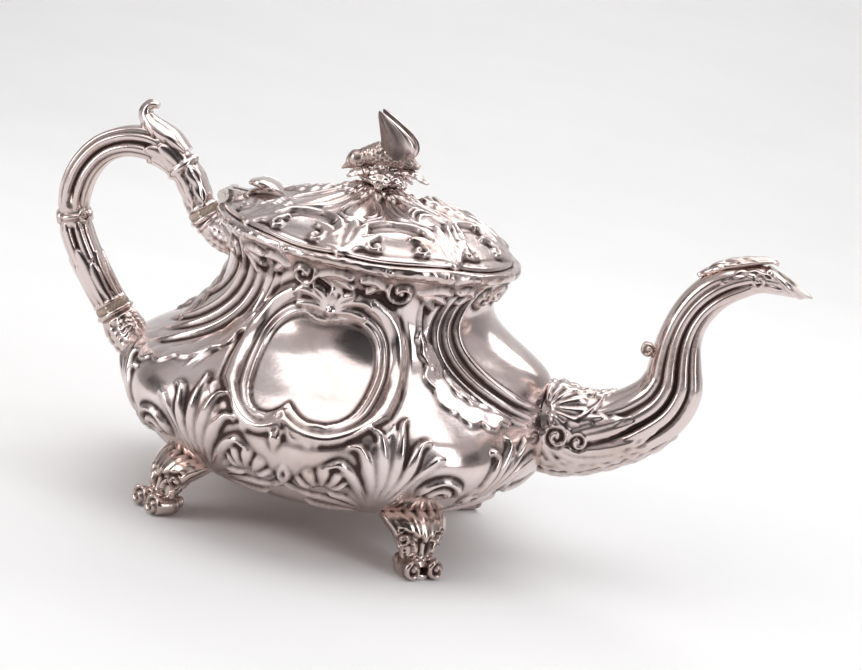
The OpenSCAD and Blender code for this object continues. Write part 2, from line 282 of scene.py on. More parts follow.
def make_skin(name, skin, material, recess_and_shade=None, matt=None, tone=None, holes=None, round_about=True):
    """A mesh object from rings of points in millimetres, in the way that outward() reads them."""
    rows, columns = skin.shape[:2]
    grid = np.arange(rows * columns).reshape(rows, columns)
    step = np.roll(grid, -1, axis=1)
    quads = np.stack([grid[:-1], step[:-1], step[1:], grid[1:]], axis=-1)
    if not round_about:
        quads = quads[:, :-1]
    quads = quads.reshape(-1, 4)
    if holes is not None:
        quads = quads[~np.all(holes.reshape(-1)[quads], axis=1)]
    used = np.unique(quads)
    renumbered = np.zeros(rows * columns, dtype=int)
    renumbered[used] = np.arange(len(used))
    mesh = bpy.data.meshes.new(name)
    mesh.from_pydata((skin.reshape(-1, 3)[used] * MM).tolist(), [], renumbered[quads].tolist())
    for label, values in (("recess_and_shade", recess_and_shade), ("matt", matt), ("tone", tone)):
        layer = mesh.attributes.new(label, "FLOAT", "POINT")
        if values is not None:
            values = np.broadcast_to(values, skin.shape[:2])
            layer.data.foreach_set("value", values.reshape(-1)[used].astype(np.float32))
    welded = bmesh.new()
    welded.from_mesh(mesh)
    bmesh.ops.remove_doubles(welded, verts=welded.verts, dist=WELD)
    welded.to_mesh(mesh)
    welded.free()
    mesh.polygons.foreach_set("use_smooth", np.ones(len(mesh.polygons), dtype=bool))
    mesh.materials.append(material)
    piece = bpy.data.objects.new(name, mesh)
    bpy.context.scene.collection.objects.link(piece)
    return piece


def add(nodes, kind, **values):
    """A shader node with its settings and its sockets' values."""
    node = nodes.new(kind)
    for name, value in values.items():
        if hasattr(node, name):
            setattr(node, name, value)
        else:
            node.inputs[name.replace("_", " ")].default_value = value
    return node


def silver_finish(name, bright, warm, tarnish_and_shade_colour, polish, grime_and_shade, grain=1.0):
    """Metal that is bright where it is rubbed and holds dark tarnish in its recesses. Painted shade passed
    in with the recesses, on the finial's wings, darkens it the same way.
    """
    material = bpy.data.materials.new(name)
    material.use_nodes = True
    tree = material.node_tree
    nodes, link = tree.nodes, tree.links.new
    shader = nodes["Principled BSDF"]
    shader.inputs["Metallic"].default_value = 1.0
    place = add(nodes, "ShaderNodeTexCoord")
    recess_and_shade = add(nodes, "ShaderNodeAttribute", attribute_name="recess_and_shade")
    matt = add(nodes, "ShaderNodeAttribute", attribute_name="matt")
    tone = add(nodes, "ShaderNodeAttribute", attribute_name="tone")
    clouds = add(nodes, "ShaderNodeTexNoise", Scale=38.0, Detail=4.0, Roughness=0.6)
    specks = add(nodes, "ShaderNodeTexNoise", Scale=420.0, Detail=5.0, Roughness=0.65)
    stipple = add(nodes, "ShaderNodeTexVoronoi", Scale=1300.0)
    scratch_map = add(nodes, "ShaderNodeMapping")
    scratch_map.inputs["Scale"].default_value = (240.0, 260.0, 2600.0)
    scratches = add(nodes, "ShaderNodeTexNoise", Scale=1.0, Detail=3.0)
    for node in (clouds, specks, stipple, scratch_map):
        link(place.outputs["Object"], node.inputs["Vector"])
    link(scratch_map.outputs["Vector"], scratches.inputs["Vector"])

    # Dirt and painted shade: tarnish in the recesses and the matt ground, broken up by the specks; on the
    # wings the recesses carry painted shade
    dirt_and_shade = add(nodes, "ShaderNodeMath", operation="MULTIPLY_ADD")
    link(recess_and_shade.outputs["Fac"], dirt_and_shade.inputs[0])
    dirt_and_shade.inputs[1].default_value = grime_and_shade
    link(matt.outputs["Fac"], dirt_and_shade.inputs[2])
    broken = add(nodes, "ShaderNodeMapRange", To_Min=0.72, To_Max=1.25)
    link(specks.outputs["Fac"], broken.inputs["Value"])
    broken_dirt_and_shade = add(nodes, "ShaderNodeMath", operation="MULTIPLY", use_clamp=True)
    link(dirt_and_shade.outputs["Value"], broken_dirt_and_shade.inputs[0])
    link(broken.outputs["Result"], broken_dirt_and_shade.inputs[1])

    # Colour: bright to warm in patches and by the piece's tone, then down to tarnish; on the wings both the
    # tone and the tarnish are painted shade
    patches = add(nodes, "ShaderNodeMapRange", From_Min=0.35, From_Max=0.7)
    link(clouds.outputs["Fac"], patches.inputs["Value"])
    warmth = add(nodes, "ShaderNodeMath", operation="MAXIMUM", use_clamp=True)
    link(patches.outputs["Result"], warmth.inputs[0])
    link(tone.outputs["Fac"], warmth.inputs[1])
    body_colour = add(nodes, "ShaderNodeMix", data_type="RGBA")
    body_colour.inputs["A"].default_value = (*bright, 1)
    body_colour.inputs["B"].default_value = (*warm, 1)
    link(warmth.outputs["Value"], body_colour.inputs["Factor"])
    colour = add(nodes, "ShaderNodeMix", data_type="RGBA")
    colour.inputs["B"].default_value = (*tarnish_and_shade_colour, 1)
    link(broken_dirt_and_shade.outputs["Value"], colour.inputs["Factor"])
    link(body_colour.outputs["Result"], colour.inputs["A"])
    link(colour.outputs["Result"], shader.inputs["Base Color"])

    # Polish: smooth on the swells, dull in the recesses, with fine wiping scratches
    wiped = add(nodes, "ShaderNodeMapRange", From_Min=0.3, From_Max=0.75, To_Min=polish,
                To_Max=polish + 0.09)
    link(scratches.outputs["Fac"], wiped.inputs["Value"])
    dulled = add(nodes, "ShaderNodeMath", operation="MULTIPLY_ADD", use_clamp=True)
    link(broken_dirt_and_shade.outputs["Value"], dulled.inputs[0])
    dulled.inputs[1].default_value = 0.4
    link(wiped.outputs["Result"], dulled.inputs[2])
    link(dulled.outputs["Value"], shader.inputs["Roughness"])

    # Surface: a soft hand-worked unevenness, pin scratches, and punched dots on the matt ground
    uneven = add(nodes, "ShaderNodeBump", Strength=0.35 * grain, Distance=0.0006)
    link(clouds.outputs["Fac"], uneven.inputs["Height"])
    rubbed = add(nodes, "ShaderNodeBump", Strength=0.12 * grain, Distance=0.0002)
    link(specks.outputs["Fac"], rubbed.inputs["Height"])
    link(uneven.outputs["Normal"], rubbed.inputs["Normal"])
    dots = add(nodes, "ShaderNodeMath", operation="MULTIPLY")
    link(stipple.outputs["Distance"], dots.inputs[0])
    link(matt.outputs["Fac"], dots.inputs[1])
    punched = add(nodes, "ShaderNodeBump", Strength=0.9, Distance=0.0009)
    link(dots.outputs["Value"], punched.inputs["Height"])
    link(rubbed.outputs["Normal"], punched.inputs["Normal"])
    link(punched.outputs["Normal"], shader.inputs["Normal"])
    return material


chased_silver = silver_finish("chased_silver", (0.80, 0.71, 0.70), (0.60, 0.48, 0.44), (0.075, 0.05, 0.045),
                              0.13, 1.7)
inside_silver = silver_finish("inside_silver", (0.70, 0.66, 0.62), (0.58, 0.50, 0.44), (0.10, 0.07, 0.05),
                              0.34, 1.0)

outline = flow([[share * BELLY_R, z] for share, z in BODY_OUTLINE], BODY_ROWS)
outline_r, outline_z = outline.T


def body_r(angle, z):
    """Radius of the plain body. angle is in degrees from the spout, and the lobes are the belly's."""
    turn = (angle + 180) % 360 - 180
    swell = PANEL_SWELL * np.exp(-(((z - PANEL_Z) / PANEL_TALL) ** 2)) * np.exp(-((turn / PANEL_WIDE) ** 2))
    lobe = LOBE_DEPTH * np.exp(-(((z - LOBE_Z) / LOBE_TALL) ** 2)) * np.cos(np.radians(LOBES * turn))
    return np.interp(z, outline_z, outline_r) + swell + lobe


def polar(r, degrees, z):
    """Points at a radius, an angle and a height. The angle runs from the spout towards the back."""
    turn = np.radians(degrees)
    return np.stack(np.broadcast_arrays(r * np.cos(turn), r * np.sin(turn), z), axis=-1)


def on_body(points):
    """A chased line on the body, from points of [degrees from the spout, height], on the front side."""
    angle, z = flow(points).T if len(points) > 1 else np.array(points, float).T
    line = polar(body_r(angle, z), -angle, z)
    return line if len(points) > 1 else line[0]


def mirrored(points):
    """The same line on the handle's side of the pot."""
    return [[180 - angle, z] for angle, z in points]


half_angles = np.linspace(-180, 0, HALF_COLUMNS)
foot_rows = np.array([[0.0, 18.4], [12, 18.3], [26, 17.8], [38, 17.9], [43.5, 17.2]])
rings_z = np.concatenate([foot_rows[:, 1], outline_z])
plain = np.array([body_r(half_angles, z) for z in outline_z])
radii = np.vstack([np.repeat(foot_rows[:, :1], HALF_COLUMNS, axis=1), plain])
body_skin = polar(radii, half_angles, rings_z[:, None])
body_skin[:, [0, -1], 1] = 0
body = Chasing(body_skin, both_sides=False, round_about=False)

# Mirror reserve on each side, in a moulded frame whose lower edge turns up in a point
reserve_edge = [[-4, 62.8], [-7.5, 59.4], [-13, 57.6], [-19, 60.6], [-22, 69], [-20.8, 80], [-16.5, 87],
                [-10, 90.6], [-3, 89.2], [6, 91.4], [14, 90.6], [20, 84.5], [22.5, 73.5], [20, 63], [12.5,
                                                                                                     58.6],
                [4.5, 58.4], [-1, 60.6], [-4, 62.8]]
reserve_line = flow(reserve_edge)
reserve_r = body_r(90, reserve_line[:, 1])
reserve_path = np.stack([reserve_line[:, 0], -np.sqrt(reserve_r**2 - reserve_line[:, 0] ** 2),
                         reserve_line[:, 1]], axis=1)


def within(x, z, edge):
    """Which points lie inside a closed edge."""
    inside = np.zeros(len(x), dtype=bool)
    for (x0, z0), (x1, z1) in zip(edge[:-1], edge[1:]):
        crosses = ((z0 > z) != (z1 > z)) & (x < (x1 - x0) * (z - z0) / (z1 - z0 + 1e-12) + x0)
        inside ^= crosses
    return inside


pick, share, offset = body.near(reserve_path, 30)
inside = within(body.at[pick, 0], body.at[pick, 2], reserve_line)
gap = np.where(inside, -1, 1) * np.abs(offset)
gap *= 1 + 0.5 * np.clip((63 - body.at[pick, 2]) / 6, 0, 1)
frame_gap = [-4, -0.6, 0.4, 1.0, 1.8, 2.6, 3.2, 4.1, 5.3, 7.0, 8.6, 10.2, 11.4, 12.4, 13.6, 15.5]
frame_rise = [-0.8, -0.8, 1.1, 1.1, -0.1, 1.2, 1.1, 0.0, 1.3, 2.1, 2.3, 1.8, 0.5, -0.5, 0.1, 0]
body.height[pick] = np.interp(gap, frame_gap, frame_rise)

# Leafy crest over the reserve and the pendant bud under its point
body.clear(on_body([[90, 98]]), 13, 0.5)
for side in (-1, 1):
    body.finger(on_body([[90 + side, 93.5], [90 + 8 * side, 95], [90 + 15 * side, 93.5]]), 5.6, 2.7)
    body.finger(on_body([[90, 93.5], [90 + 6 * side, 98.5], [90 + 13 * side, 100], [90 + 17 * side, 97.5]]),
                6.2, 3.1)
    body.finger(on_body([[90, 93.5], [90 + 3 * side, 98.5], [90 + 8.5 * side, 103.5]]), 5.6, 3.1)
    body.leaf(on_body([[93.5, 57], [93.5 + 5 * side, 52.5], [93.5 + 11 * side, 50.5]]), 5, 1.9, 3)
body.finger(on_body([[90, 93], [90, 98.5], [90, 104.5]]), 5.6, 3.3)
body.boss(on_body([[90, 93.8]]), 2.3, 3.2)
body.leaf(on_body([[93.5, 59.5], [93.4, 54], [93, 46]]), 8, 2.6, 3)

# Long ribs that fall from the rim towards the handle and the spout
handle_ribs = [([[137, 110], [138, 103], [139.5, 96], [143, 88], [149, 80], [157, 73], [167, 68]], 3.4, 2.0),
               ([[131, 109], [132, 102], [133.5, 94], [137, 85.5], [142.5, 77.5], [150, 71], [160, 65.5]],
                2.6, 1.6),
               ([[125, 107], [126.5, 99], [128.5, 90.5], [132, 81.5], [137.5, 73.5], [145, 67], [154, 61.5]],
                3.2, 1.8),
               ([[116, 106], [118, 98], [120.5, 89], [124, 79], [127.5, 70], [128, 62]], 2.2, 1.4),
               ([[145, 109], [147, 101], [151, 93], [158, 86], [167, 81], [176, 79]], 2.6, 1.5)]
for line, width, rise in handle_ribs:
    body.groove(on_body([[angle - 2.2, z - 0.6] for angle, z in line]), 1.6, 0.5)
    body.bead(on_body(line), width, rise)
spout_ribs = [([[26, 110], [30.5, 101], [32.5, 93], [31, 85], [26, 77], [18, 70], [8, 65]], 3.2, 2.0),
              ([[32, 110], [36.5, 101], [38.5, 92], [36.5, 83], [31, 75], [22.5, 68], [12, 62.5]], 2.4, 1.7),
              ([[38, 109], [42, 100], [43.8, 91], [41.5, 81.5], [35.5, 73], [27, 66], [17, 61]], 2.8, 1.8)]
for line, width, rise in spout_ribs:
    body.groove(on_body([[angle + 2.2, z - 0.4] for angle, z in line]), 1.6, 0.5)
    body.bead(on_body(line), width, rise)

# Leafy stem with buds beside the plain flute, and the leaf edge that ends it
body.ground(on_body([[51.5, 104], [50.5, 99], [50, 94]]), 5.5, 0.4)
body.bead(on_body([[54, 107], [52.5, 98], [51, 89], [48.5, 80], [45, 72]]), 1.8, 1.3)
for angle, z in ([50.5, 88], [47, 80]):
    body.leaf(on_body([[angle + 2, z + 3], [angle, z], [angle - 3, z - 3]]), 4.2, 1.9, 2)
body.lap(on_body([[50, 90], [49, 80], [48, 72], [43, 65.5], [36, 63], [28, 62.5], [22, 65]]), 6, 2.6, 9, 1.5)
body.leaf(on_body([[42, 80], [40, 74], [34, 69], [27, 66.5]]), 5, 1.3, 4)
flute = [[63, 107], [60.5, 98], [58.5, 88], [58.5, 78], [61, 68]]
body.groove(on_body(flute), 2.2, 0.7)
body.groove(on_body(mirrored(flute)), 2.2, 0.7)
body.lap(on_body([[166, 64], [157, 58.5], [147, 58], [138, 61], [130, 66.5], [124, 75], [121.5, 86]]), 7,
         2.8, 9, 1.5)

# Shells, leaves and scrolls over each foot
for turn_over in (False, True):
    here = mirrored if turn_over else (lambda points: points)
    flip = -1 if turn_over else 1
    body.leaf(on_body(here([[62, 24], [65, 38], [66, 50], [64, 61]])), 23, 1.5, 2)
    for bend, tip, curl in (((70, 35), (76, 45), (80, 44)), ((67.5, 39), (72, 51.5), (76, 52.5)),
                            ((65.5, 43), (67.5, 56.5), (70.5, 59.5)), ((62.5, 44), (62, 59.5), (60, 63.5)),
                            ((60, 42), (57.5, 55), (54, 57.5)), ((58, 38), (53.5, 50), (50.5, 52.5))):
        body.finger(on_body(here([[63, 23], bend, tip, curl])), 6.0, 2.6)
    root = on_body(here([[80, 33]]))
    body.clear(root, 12.5, 0.2)
    body.shell(root, 2.2, 14, 90 + 8 * flip, 78, 5, 2.6)
    eye = on_body(here([[49, 37.5]]))
    body.clear(eye, 16, 0.0)
    for far, start, end, rise in ((3.6, -60, 260, 2.4), (7.6, -35, 215, 3.0), (11.6, -15, 195, 3.1),
                                  (15.6, 10, 168, 2.8)):
        body.arc(eye, far, 90 - (90 - start) * flip, 90 - (90 - end) * flip, 3.7, rise)
    body.bead(on_body(here([[84, 28], [88, 31], [91, 36], [90, 41]])), 2.6, 1.9, 0.3)
    for tip, bend in (((84, 24), (76, 22)), ((86, 29.5), (76, 27)), ((78, 31), (72, 29))):
        body.finger(on_body(here([[62, 22], bend, tip])), 4.6, 1.9)
    for tip, bend in (((14, 30), (26, 23)), ((8, 26), (22, 21)), ((22, 34), (32, 26))):
        body.finger(on_body(here([[40, 22], bend, tip])), 5.2, 2.0)
    body.leaf(on_body(here([[35, 30], [30, 42], [24, 53]])), 18, 1.5, 2)
    for bend, tip, curl in (((35, 41), (33, 52), (36, 54.5)), ((31.5, 43), (27.5, 55), (28.5, 58.5)),
                            ((28, 42), (21.5, 53), (19.5, 57)), ((26, 38), (17, 48), (13, 50))):
        body.finger(on_body(here([[35, 29], bend, tip, curl])), 5.8, 2.4)
    body.volute(on_body(here([[36, 33.5]])), 4.4, -60, flip, 2.0, 2.2, 1.4)
    body.bead(on_body(here([[6, 40], [10, 35], [17, 34], [20, 39], [16, 43]])), 2.6, 2.0, 0.3)

# Leaf down the handle's side, with smaller ones that fall away from it
body.leaf(on_body([[180, 99], [180, 88], [180, 77], [180, 68]]), 15, 2.2, 5)
for z, half in ((91, 9), (84, 11), (77, 13)):
    body.leaf(on_body([[178, z], [180 - half, z - 2], [180 - 1.7 * half, z - 8]]), 6, 1.7, 3)

# Band of volutes, leaves and matt ground under the rim
for angle, z in ((138, 101), (121, 102), (66, 101)):
    body.ground(on_body([[angle - 4, z + 2], [angle, z], [angle + 4, z + 2]]), 7, 0.5)
for angle, turn, radius in ((143, 1, 5.2), (103, -1, 5), (64, 1, 5.4), (22, -1, 5.2), (172, -1, 4.6),
                            (4, 1, 4.6)):
    body.volute(on_body([[angle, 106.5]]), radius, 90 + 60 * turn, turn, 2.3, 2.4, 1.3)
for root, tips in ((136, ((121, 108.5), (122, 104), (126, 100.5))), (110, ((121, 109), (117, 103.5))),
                   (97, ((83, 109), (82, 104.5), (86, 101.5))), (71, ((81, 109), (78, 104))),
                   (57, ((42, 108.5), (43, 104), (48, 100.5))), (29, ((41, 109), (38, 104))),
                   (150, ((164, 109), (163, 104))), (15, ((7, 109), (8, 103.5)))):
    for tip, z in tips:
        body.finger(on_body([[root, 107], [(root + tip) / 2, (107 + z) / 2 + 1.2], [tip, z]]), 5.2, 2.3)

pierced = np.hypot(body_skin[..., 1], body_skin[..., 2] - STRAINER_Z) < STRAINER_R - 0.4
pierced &= body_skin[..., 0] > SPOUT_SIDE_X

# The two soldered halves, warmer low down. The back one mirrors the front one
WARM_BELOW_Z = 34
WARM_FADE = 16
body_raised, body_recess, body_matt = body.raised()
body_tone = 0.9 * np.clip((WARM_BELOW_Z - body_skin[..., 2]) / WARM_FADE, 0, 1)
fields = (body_raised, body_recess, body_matt, body_tone, pierced)
for half, way in (("front", 1), ("back", -1)):
    skin, recess_and_shade, matt, tone, holes = (field[:, ::way] for field in fields)
    half_piece = make_skin(f"body_{half}_half_chased", skin * [1, way, 1], chased_silver, recess_and_shade, matt, tone,
                           holes, round_about=False)
    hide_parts("body_shell")
    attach(half_piece, "pot")

# The plain inside of the body, a sheet's thickness in, pierced behind the strainer
LINING_COLUMNS = 120
lining_z = np.linspace(19.2, RIM_BASE_Z, 40)
lining_angles = np.linspace(-180, 180, LINING_COLUMNS, endpoint=False)
lining_r = np.array([body_r(lining_angles, z) for z in lining_z]) - SHEET
lining_r = np.vstack([np.zeros((1, LINING_COLUMNS)), np.full((1, LINING_COLUMNS), 22.0), lining_r])
lining_z = np.concatenate([[19.6, 19.4], lining_z])
lining = polar(lining_r, lining_angles, lining_z[:, None])
from_axis = np.hypot(lining[..., 1], lining[..., 2] - STRAINER_Z)
pierced = (from_axis < STRAINER_R + 1) & (lining[..., 0] > SPOUT_SIDE_X)
snap = pierced & (from_axis > 0.1)
stretch = STRAINER_R / from_axis[snap]
lining[snap, 1] *= stretch
lining[snap, 2] = STRAINER_Z + (lining[snap, 2] - STRAINER_Z) * stretch
lining_piece = make_skin("body_inside", lining[:, ::-1], inside_silver, holes=pierced[:, ::-1])
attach(lining_piece, "pot")

# ---------------------------------------------------------------------------------------------
# Mouth rim: a cast moulding soldered round the neck, worked as a running leaf border. Its top
# rises and dips gently, and the lid's edge follows it.
# ---------------------------------------------------------------------------------------------

RIM_ROWS = 44
RIM_COLUMNS = 640
RIM_LOW_Z = 112
RIM_TALL = 5
RIM_OUTLINE = [[54.5, 112.1], [57.5, 112], [59.8, 112.05], [61.0, 113], [61.8, 114.6], [61.3, 116],
               [60.2, 116.8], [58.5, 117], [56, 117], [54.6, 116.9], [54.5, 116], [54.5, 113.2]]


def seam_wave(angle):
    """How far the seam between the rim and the lid rises above its plane, by the angle from the spout."""
    turn = np.abs((angle + 180) % 360 - 180)
    return (1.3 * np.exp(-(((turn - 50) / 15) ** 2)) - 1.2 * np.exp(-(((turn - 105) / 13) ** 2))
            - 0.4 * np.exp(-(((turn - 78) / 9) ** 2)))


def lifted(angle, z):
    """Heights on the rim, once the wave of the seam has lifted its upper part."""
    return z + seam_wave(angle) * np.clip((z - RIM_LOW_Z) / RIM_TALL, 0, 1)


def seam_line(points):
    """A line on the rim's outer face, from points of [degrees from the spout, height]."""
    angle, z = flow(points).T
    r = np.interp(z, [112, 113, 114.6, 116, 117], [59.8, 61.0, 61.8, 61.3, 59.5])
    return polar(r, -angle, lifted(angle, z))


rim_angles = np.linspace(-180, 180, RIM_COLUMNS, endpoint=False)
rim_r, rim_z = flow(RIM_OUTLINE, RIM_ROWS).T
rim_skin = polar(rim_r[:, None], rim_angles, lifted(rim_angles, rim_z[:, None]))
rim = Chasing(rim_skin)
rim.bead(seam_line([[0, 116.1], [60, 116.1], [120, 116.1], [168, 116.1]]), 1.5, 0.5, 0.02)
for middle, way in ((16, 1), (34, -1), (60, 1), (84, -1), (98, 1), (122, -1), (146, 1)):
    rim.leaf(seam_line([[middle - 11 * way, 112.6], [middle - 3 * way, 115], [middle + 9 * way, 113.4]]),
             4.6, 1.0, 4)
for angle in (2, 47, 71, 110, 134):
    rim.volute(seam_line([[angle, 114], [angle + 1, 114]])[5], 2.5, 60, 1, 1.2, 1.1, 1.2)
rim_raised, rim_recess, rim_matt = rim.raised()
rim_piece = make_skin("mouth_rim_leaf_border", rim_raised, chased_silver, rim_recess, rim_matt)
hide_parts("mouth_rim")
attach(rim_piece, "pot")

# ---------------------------------------------------------------------------------------------
# Strainer: a drilled cup of thin silver sheet, soldered inside the body behind the spout and left
# plain like the rest of the inside.
# ---------------------------------------------------------------------------------------------


def refinish(node, material):
    """Gives a solid that keeps its shape another finish."""
    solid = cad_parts[node]
    solid.data.materials.clear()
    solid.data.materials.append(material)


refinish("strainer", inside_silver)

# ---------------------------------------------------------------------------------------------
# Spout: cast in two halves and soldered along its back. A shell and a pair of scrolls hide its
# root, deep reeds follow its double bend, and it opens like a beak under a leaf.
# ---------------------------------------------------------------------------------------------

SPOUT_COLUMNS = 192
SPOUT_ROWS = 330

# Stations: [x, z, half height, half width, tilt of the section from upright]
SPOUT_STATIONS = [[83.5, 57.5, 17.4, 14.4, 0], [89, 57.3, 18.2, 15, 0], [97, 57.5, 17.3, 14, 4],
                  [105, 59.5, 15.8, 13, 12], [113, 63, 14.6, 12.2, 22], [121.5, 69, 13.8, 11.4, 38],
                  [128.5, 76.5, 13.4, 10.8, 56], [131.4, 85.5, 12.3, 10, 78], [130.2, 94.5, 10.3, 9, 94],
                  [129.6, 103, 8.9, 8.2, 92], [130.8, 111.5, 8, 7.6, 78], [134, 119.5, 7.7, 7.2, 62],
                  [139.5, 126.5, 7.6, 7, 48], [146.5, 131.5, 7, 6.8, 36], [154.5, 134.6, 6.2, 6.8, 36],
                  [167.6, 135.5, 9.4, 6.6, 66]]


def swept(stations, rows, columns, inset=0.0):
    """A skin of oval rings along stations of [x, z, half height, half width, tilt in degrees]."""
    x, z, half_h, half_w, tilt = (column[:, None] for column in flow(stations, rows).T)
    around = np.linspace(0, 2 * math.pi, columns, endpoint=False)
    tilt = np.radians(tilt)
    high = (half_h - inset) * np.cos(around)
    wide = (half_w - inset) * np.sin(around)
    return np.stack([x - high * np.sin(tilt), -wide, z + high * np.cos(tilt)], axis=-1)


def over(skin, points):
    """A line on a swept skin, from points of [share of its length, degrees round from its top]."""
    share, around = flow(points).T if len(points) > 1 else np.array(points, float).T
    row = np.clip(share, 0, 1) * (skin.shape[0] - 1)
    column = around / 360 * skin.shape[1]
    low_row = np.minimum(row.astype(int), skin.shape[0] - 2)
    low_column = np.floor(column).astype(int)
    up, on = (row - low_row)[:, None], (column - low_column)[:, None]
    columns = skin.shape[1]
    corners = [skin[low_row + i, (low_column + j) % columns] for i in (0, 1) for j in (0, 1)]
    lower = (1 - on) * corners[0] + on * corners[1]
    upper = (1 - on) * corners[2] + on * corners[3]
    line = (1 - up) * lower + up * upper
    return line if len(points) > 1 else line[0]


def ring(skin, share, step=15):
    """A line half way round a swept skin, from its top to its underside."""
    return over(skin, [[share, k] for k in range(0, 181, step)])


spout_skin = swept(SPOUT_STATIONS, SPOUT_ROWS, SPOUT_COLUMNS)
spout = Chasing(spout_skin)
for points, width, rise in (([[0.16, 52], [0.35, 50], [0.6, 52], [0.8, 54], [0.9, 60]], 5.5, 1.1),
                            ([[0.2, 82], [0.35, 80], [0.6, 84], [0.8, 88], [0.93, 88]], 5, 1.3),
                            ([[0.22, 108], [0.38, 106], [0.6, 112], [0.8, 118], [0.92, 116]], 5, 1.3),
                            ([[0.2, 136], [0.38, 138], [0.6, 142], [0.8, 146]], 6, 1.0)):
    spout.bead(over(spout_skin, points), width, rise, 0.12)
spout.groove(over(spout_skin, [[0.17, 96], [0.35, 93], [0.6, 98], [0.8, 103], [0.92, 102]]), 2.0, 1.7)
spout.groove(over(spout_skin, [[0.2, 122], [0.38, 122], [0.6, 128], [0.78, 132]]), 1.7, 1.3)
spout.groove(over(spout_skin, [[0.18, 66], [0.35, 64], [0.6, 68], [0.85, 72]]), 1.4, 0.8)

# Shell over the root, its two scrolls, and the leaves that grow from under it
spout.shell(over(spout_skin, [[0.012, 58]]), 1.5, 17, 25, 85, 8, 2.0)
spout.bead(over(spout_skin, [[0.02, 84], [0.07, 72], [0.13, 58], [0.18, 40], [0.2, 22]]), 2.4, 1.8)
for tip, bend in (((0.2, 60), (0.11, 66)), ((0.26, 72), (0.15, 76)), ((0.3, 84), (0.19, 84)),
                  ((0.28, 112), (0.18, 112)),
                  ((0.24, 126), (0.14, 124)), ((0.18, 138), (0.09, 134))):
    spout.finger(over(spout_skin, [[0.01, 96], bend, tip]), 6.5, 2.0)
spout.volute(over(spout_skin, [[0.062, 90]]), 4.6, 150, -1, 1.9, 2.0, 1.4)
spout.volute(over(spout_skin, [[0.125, 94]]), 3.8, 180, -1, 1.6, 1.8, 1.4)
spout.leaf(over(spout_skin, [[0.1, 60], [0.17, 66], [0.25, 74], [0.33, 80]]), 7, 1.9, 4)
spout.leaf(over(spout_skin, [[0.16, 112], [0.23, 116], [0.3, 114], [0.37, 110]]), 6.5, 1.8, 4)
for start in (0.0, 0.07, 0.14, 0.21):
    spout.leaf(over(spout_skin, [[start, 122], [start + 0.05, 134], [start + 0.11, 140]]), 7.5, 2.0, 3)
    spout.leaf(over(spout_skin, [[start + 0.02, 150], [start + 0.07, 160], [start + 0.13, 166]]), 7, 1.9, 3)
spout.leaf(over(spout_skin, [[0.0, 180], [0.12, 180], [0.26, 180], [0.36, 180]]), 12, 2.0, 6)
for start, around in ((0.02, 12), (0.1, 8), (0.17, 6)):
    spout.leaf(over(spout_skin, [[start, around + 14], [start + 0.05, around], [start + 0.1, around - 4]]),
               5, 1.6, 3)

# Leaves and a curl behind the beak, and the rolled lip
spout.leaf(over(spout_skin, [[0.8, 70], [0.86, 62], [0.92, 66], [0.96, 78]]), 5, 1.4, 4)
spout.volute(over(spout_skin, [[0.9, 92]]), 2.7, 90, 1, 1.2, 1.3)
spout.leaf(over(spout_skin, [[0.95, 112], [0.9, 124], [0.85, 124], [0.8, 116]]), 4.5, 1.2, 3)
spout.boss(over(spout_skin, [[0.955, 46]]), 1.5, 1.2)
spout.bead(ring(spout_skin, 0.975, 20), 1.6, 0.7, 0.01)
spout_raised, spout_recess, spout_matt = spout.raised()
spout_piece = make_skin("spout_reeded", spout_raised, chased_silver, spout_recess, spout_matt, 0.35)
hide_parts("spout")
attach(spout_piece, "pot")

bore = swept(SPOUT_STATIONS, 70, SPOUT_COLUMNS, SHEET)[::-1]
spout_bore = np.concatenate([spout_raised[-1:], (spout_raised[-1:] + bore[:1]) / 2 + [0.25, 0, 0.2], bore])
bore_piece = make_skin("spout_bore", spout_bore, inside_silver)
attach(bore_piece, "pot")

# ---------------------------------------------------------------------------------------------
# Beak leaf and bend scroll: small castings soldered on the spout, a leaf that crests the beak
# and lifts at its tip, and a volute inside the upper bend.
# ---------------------------------------------------------------------------------------------


def along(line, half_h, half_w):
    """Stations for a sweep along a line of [x, z], tilted to follow it, with listed half sizes."""
    line = np.asarray(line, float)
    steps = np.vstack([line[1] - line[0], line[2:] - line[:-2], line[-1] - line[-2]])
    tilt = np.degrees(np.unwrap(np.arctan2(steps[:, 1], steps[:, 0])))
    return np.column_stack([line, half_h, half_w, tilt])


def closed(skin):
    """The skin with its two ends drawn in to small flats."""
    ends = [skin[[k]] * 0.06 + skin[k].mean(axis=0) * 0.94 for k in (0, -1)]
    near = [skin[[k]] * 0.6 + skin[k].mean(axis=0) * 0.4 for k in (0, -1)]
    return np.concatenate([ends[0], near[0], skin, near[1], ends[1]])


beak_stations = along([[131, 130.2], [138, 135.2], [145, 138.5], [152, 140.9], [157.5, 142.2],
                       [160.2, 141.6]],
                      [0.6, 1.6, 1.8, 1.4, 0.9, 0.6], [1.2, 4, 4.8, 4, 2.6, 1.2])
beak_skin = closed(swept(beak_stations, 110, 64))
beak = Chasing(beak_skin)
beak.leaf(over(beak_skin, [[0.04, 0], [0.35, 0], [0.7, 0], [0.97, 0]]), 9.5, 0.9, 5)
for start in (0.15, 0.35, 0.55):
    beak.groove(over(beak_skin, [[start, 20], [start + 0.12, 50], [start + 0.2, 82]]), 1.0, 0.5)
beak_raised, beak_recess = beak.raised()[:2]
beak_piece = make_skin("spout_beak_leaf_chased", beak_raised, chased_silver, beak_recess)
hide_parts("spout_beak_leaf")
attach(beak_piece, "pot")


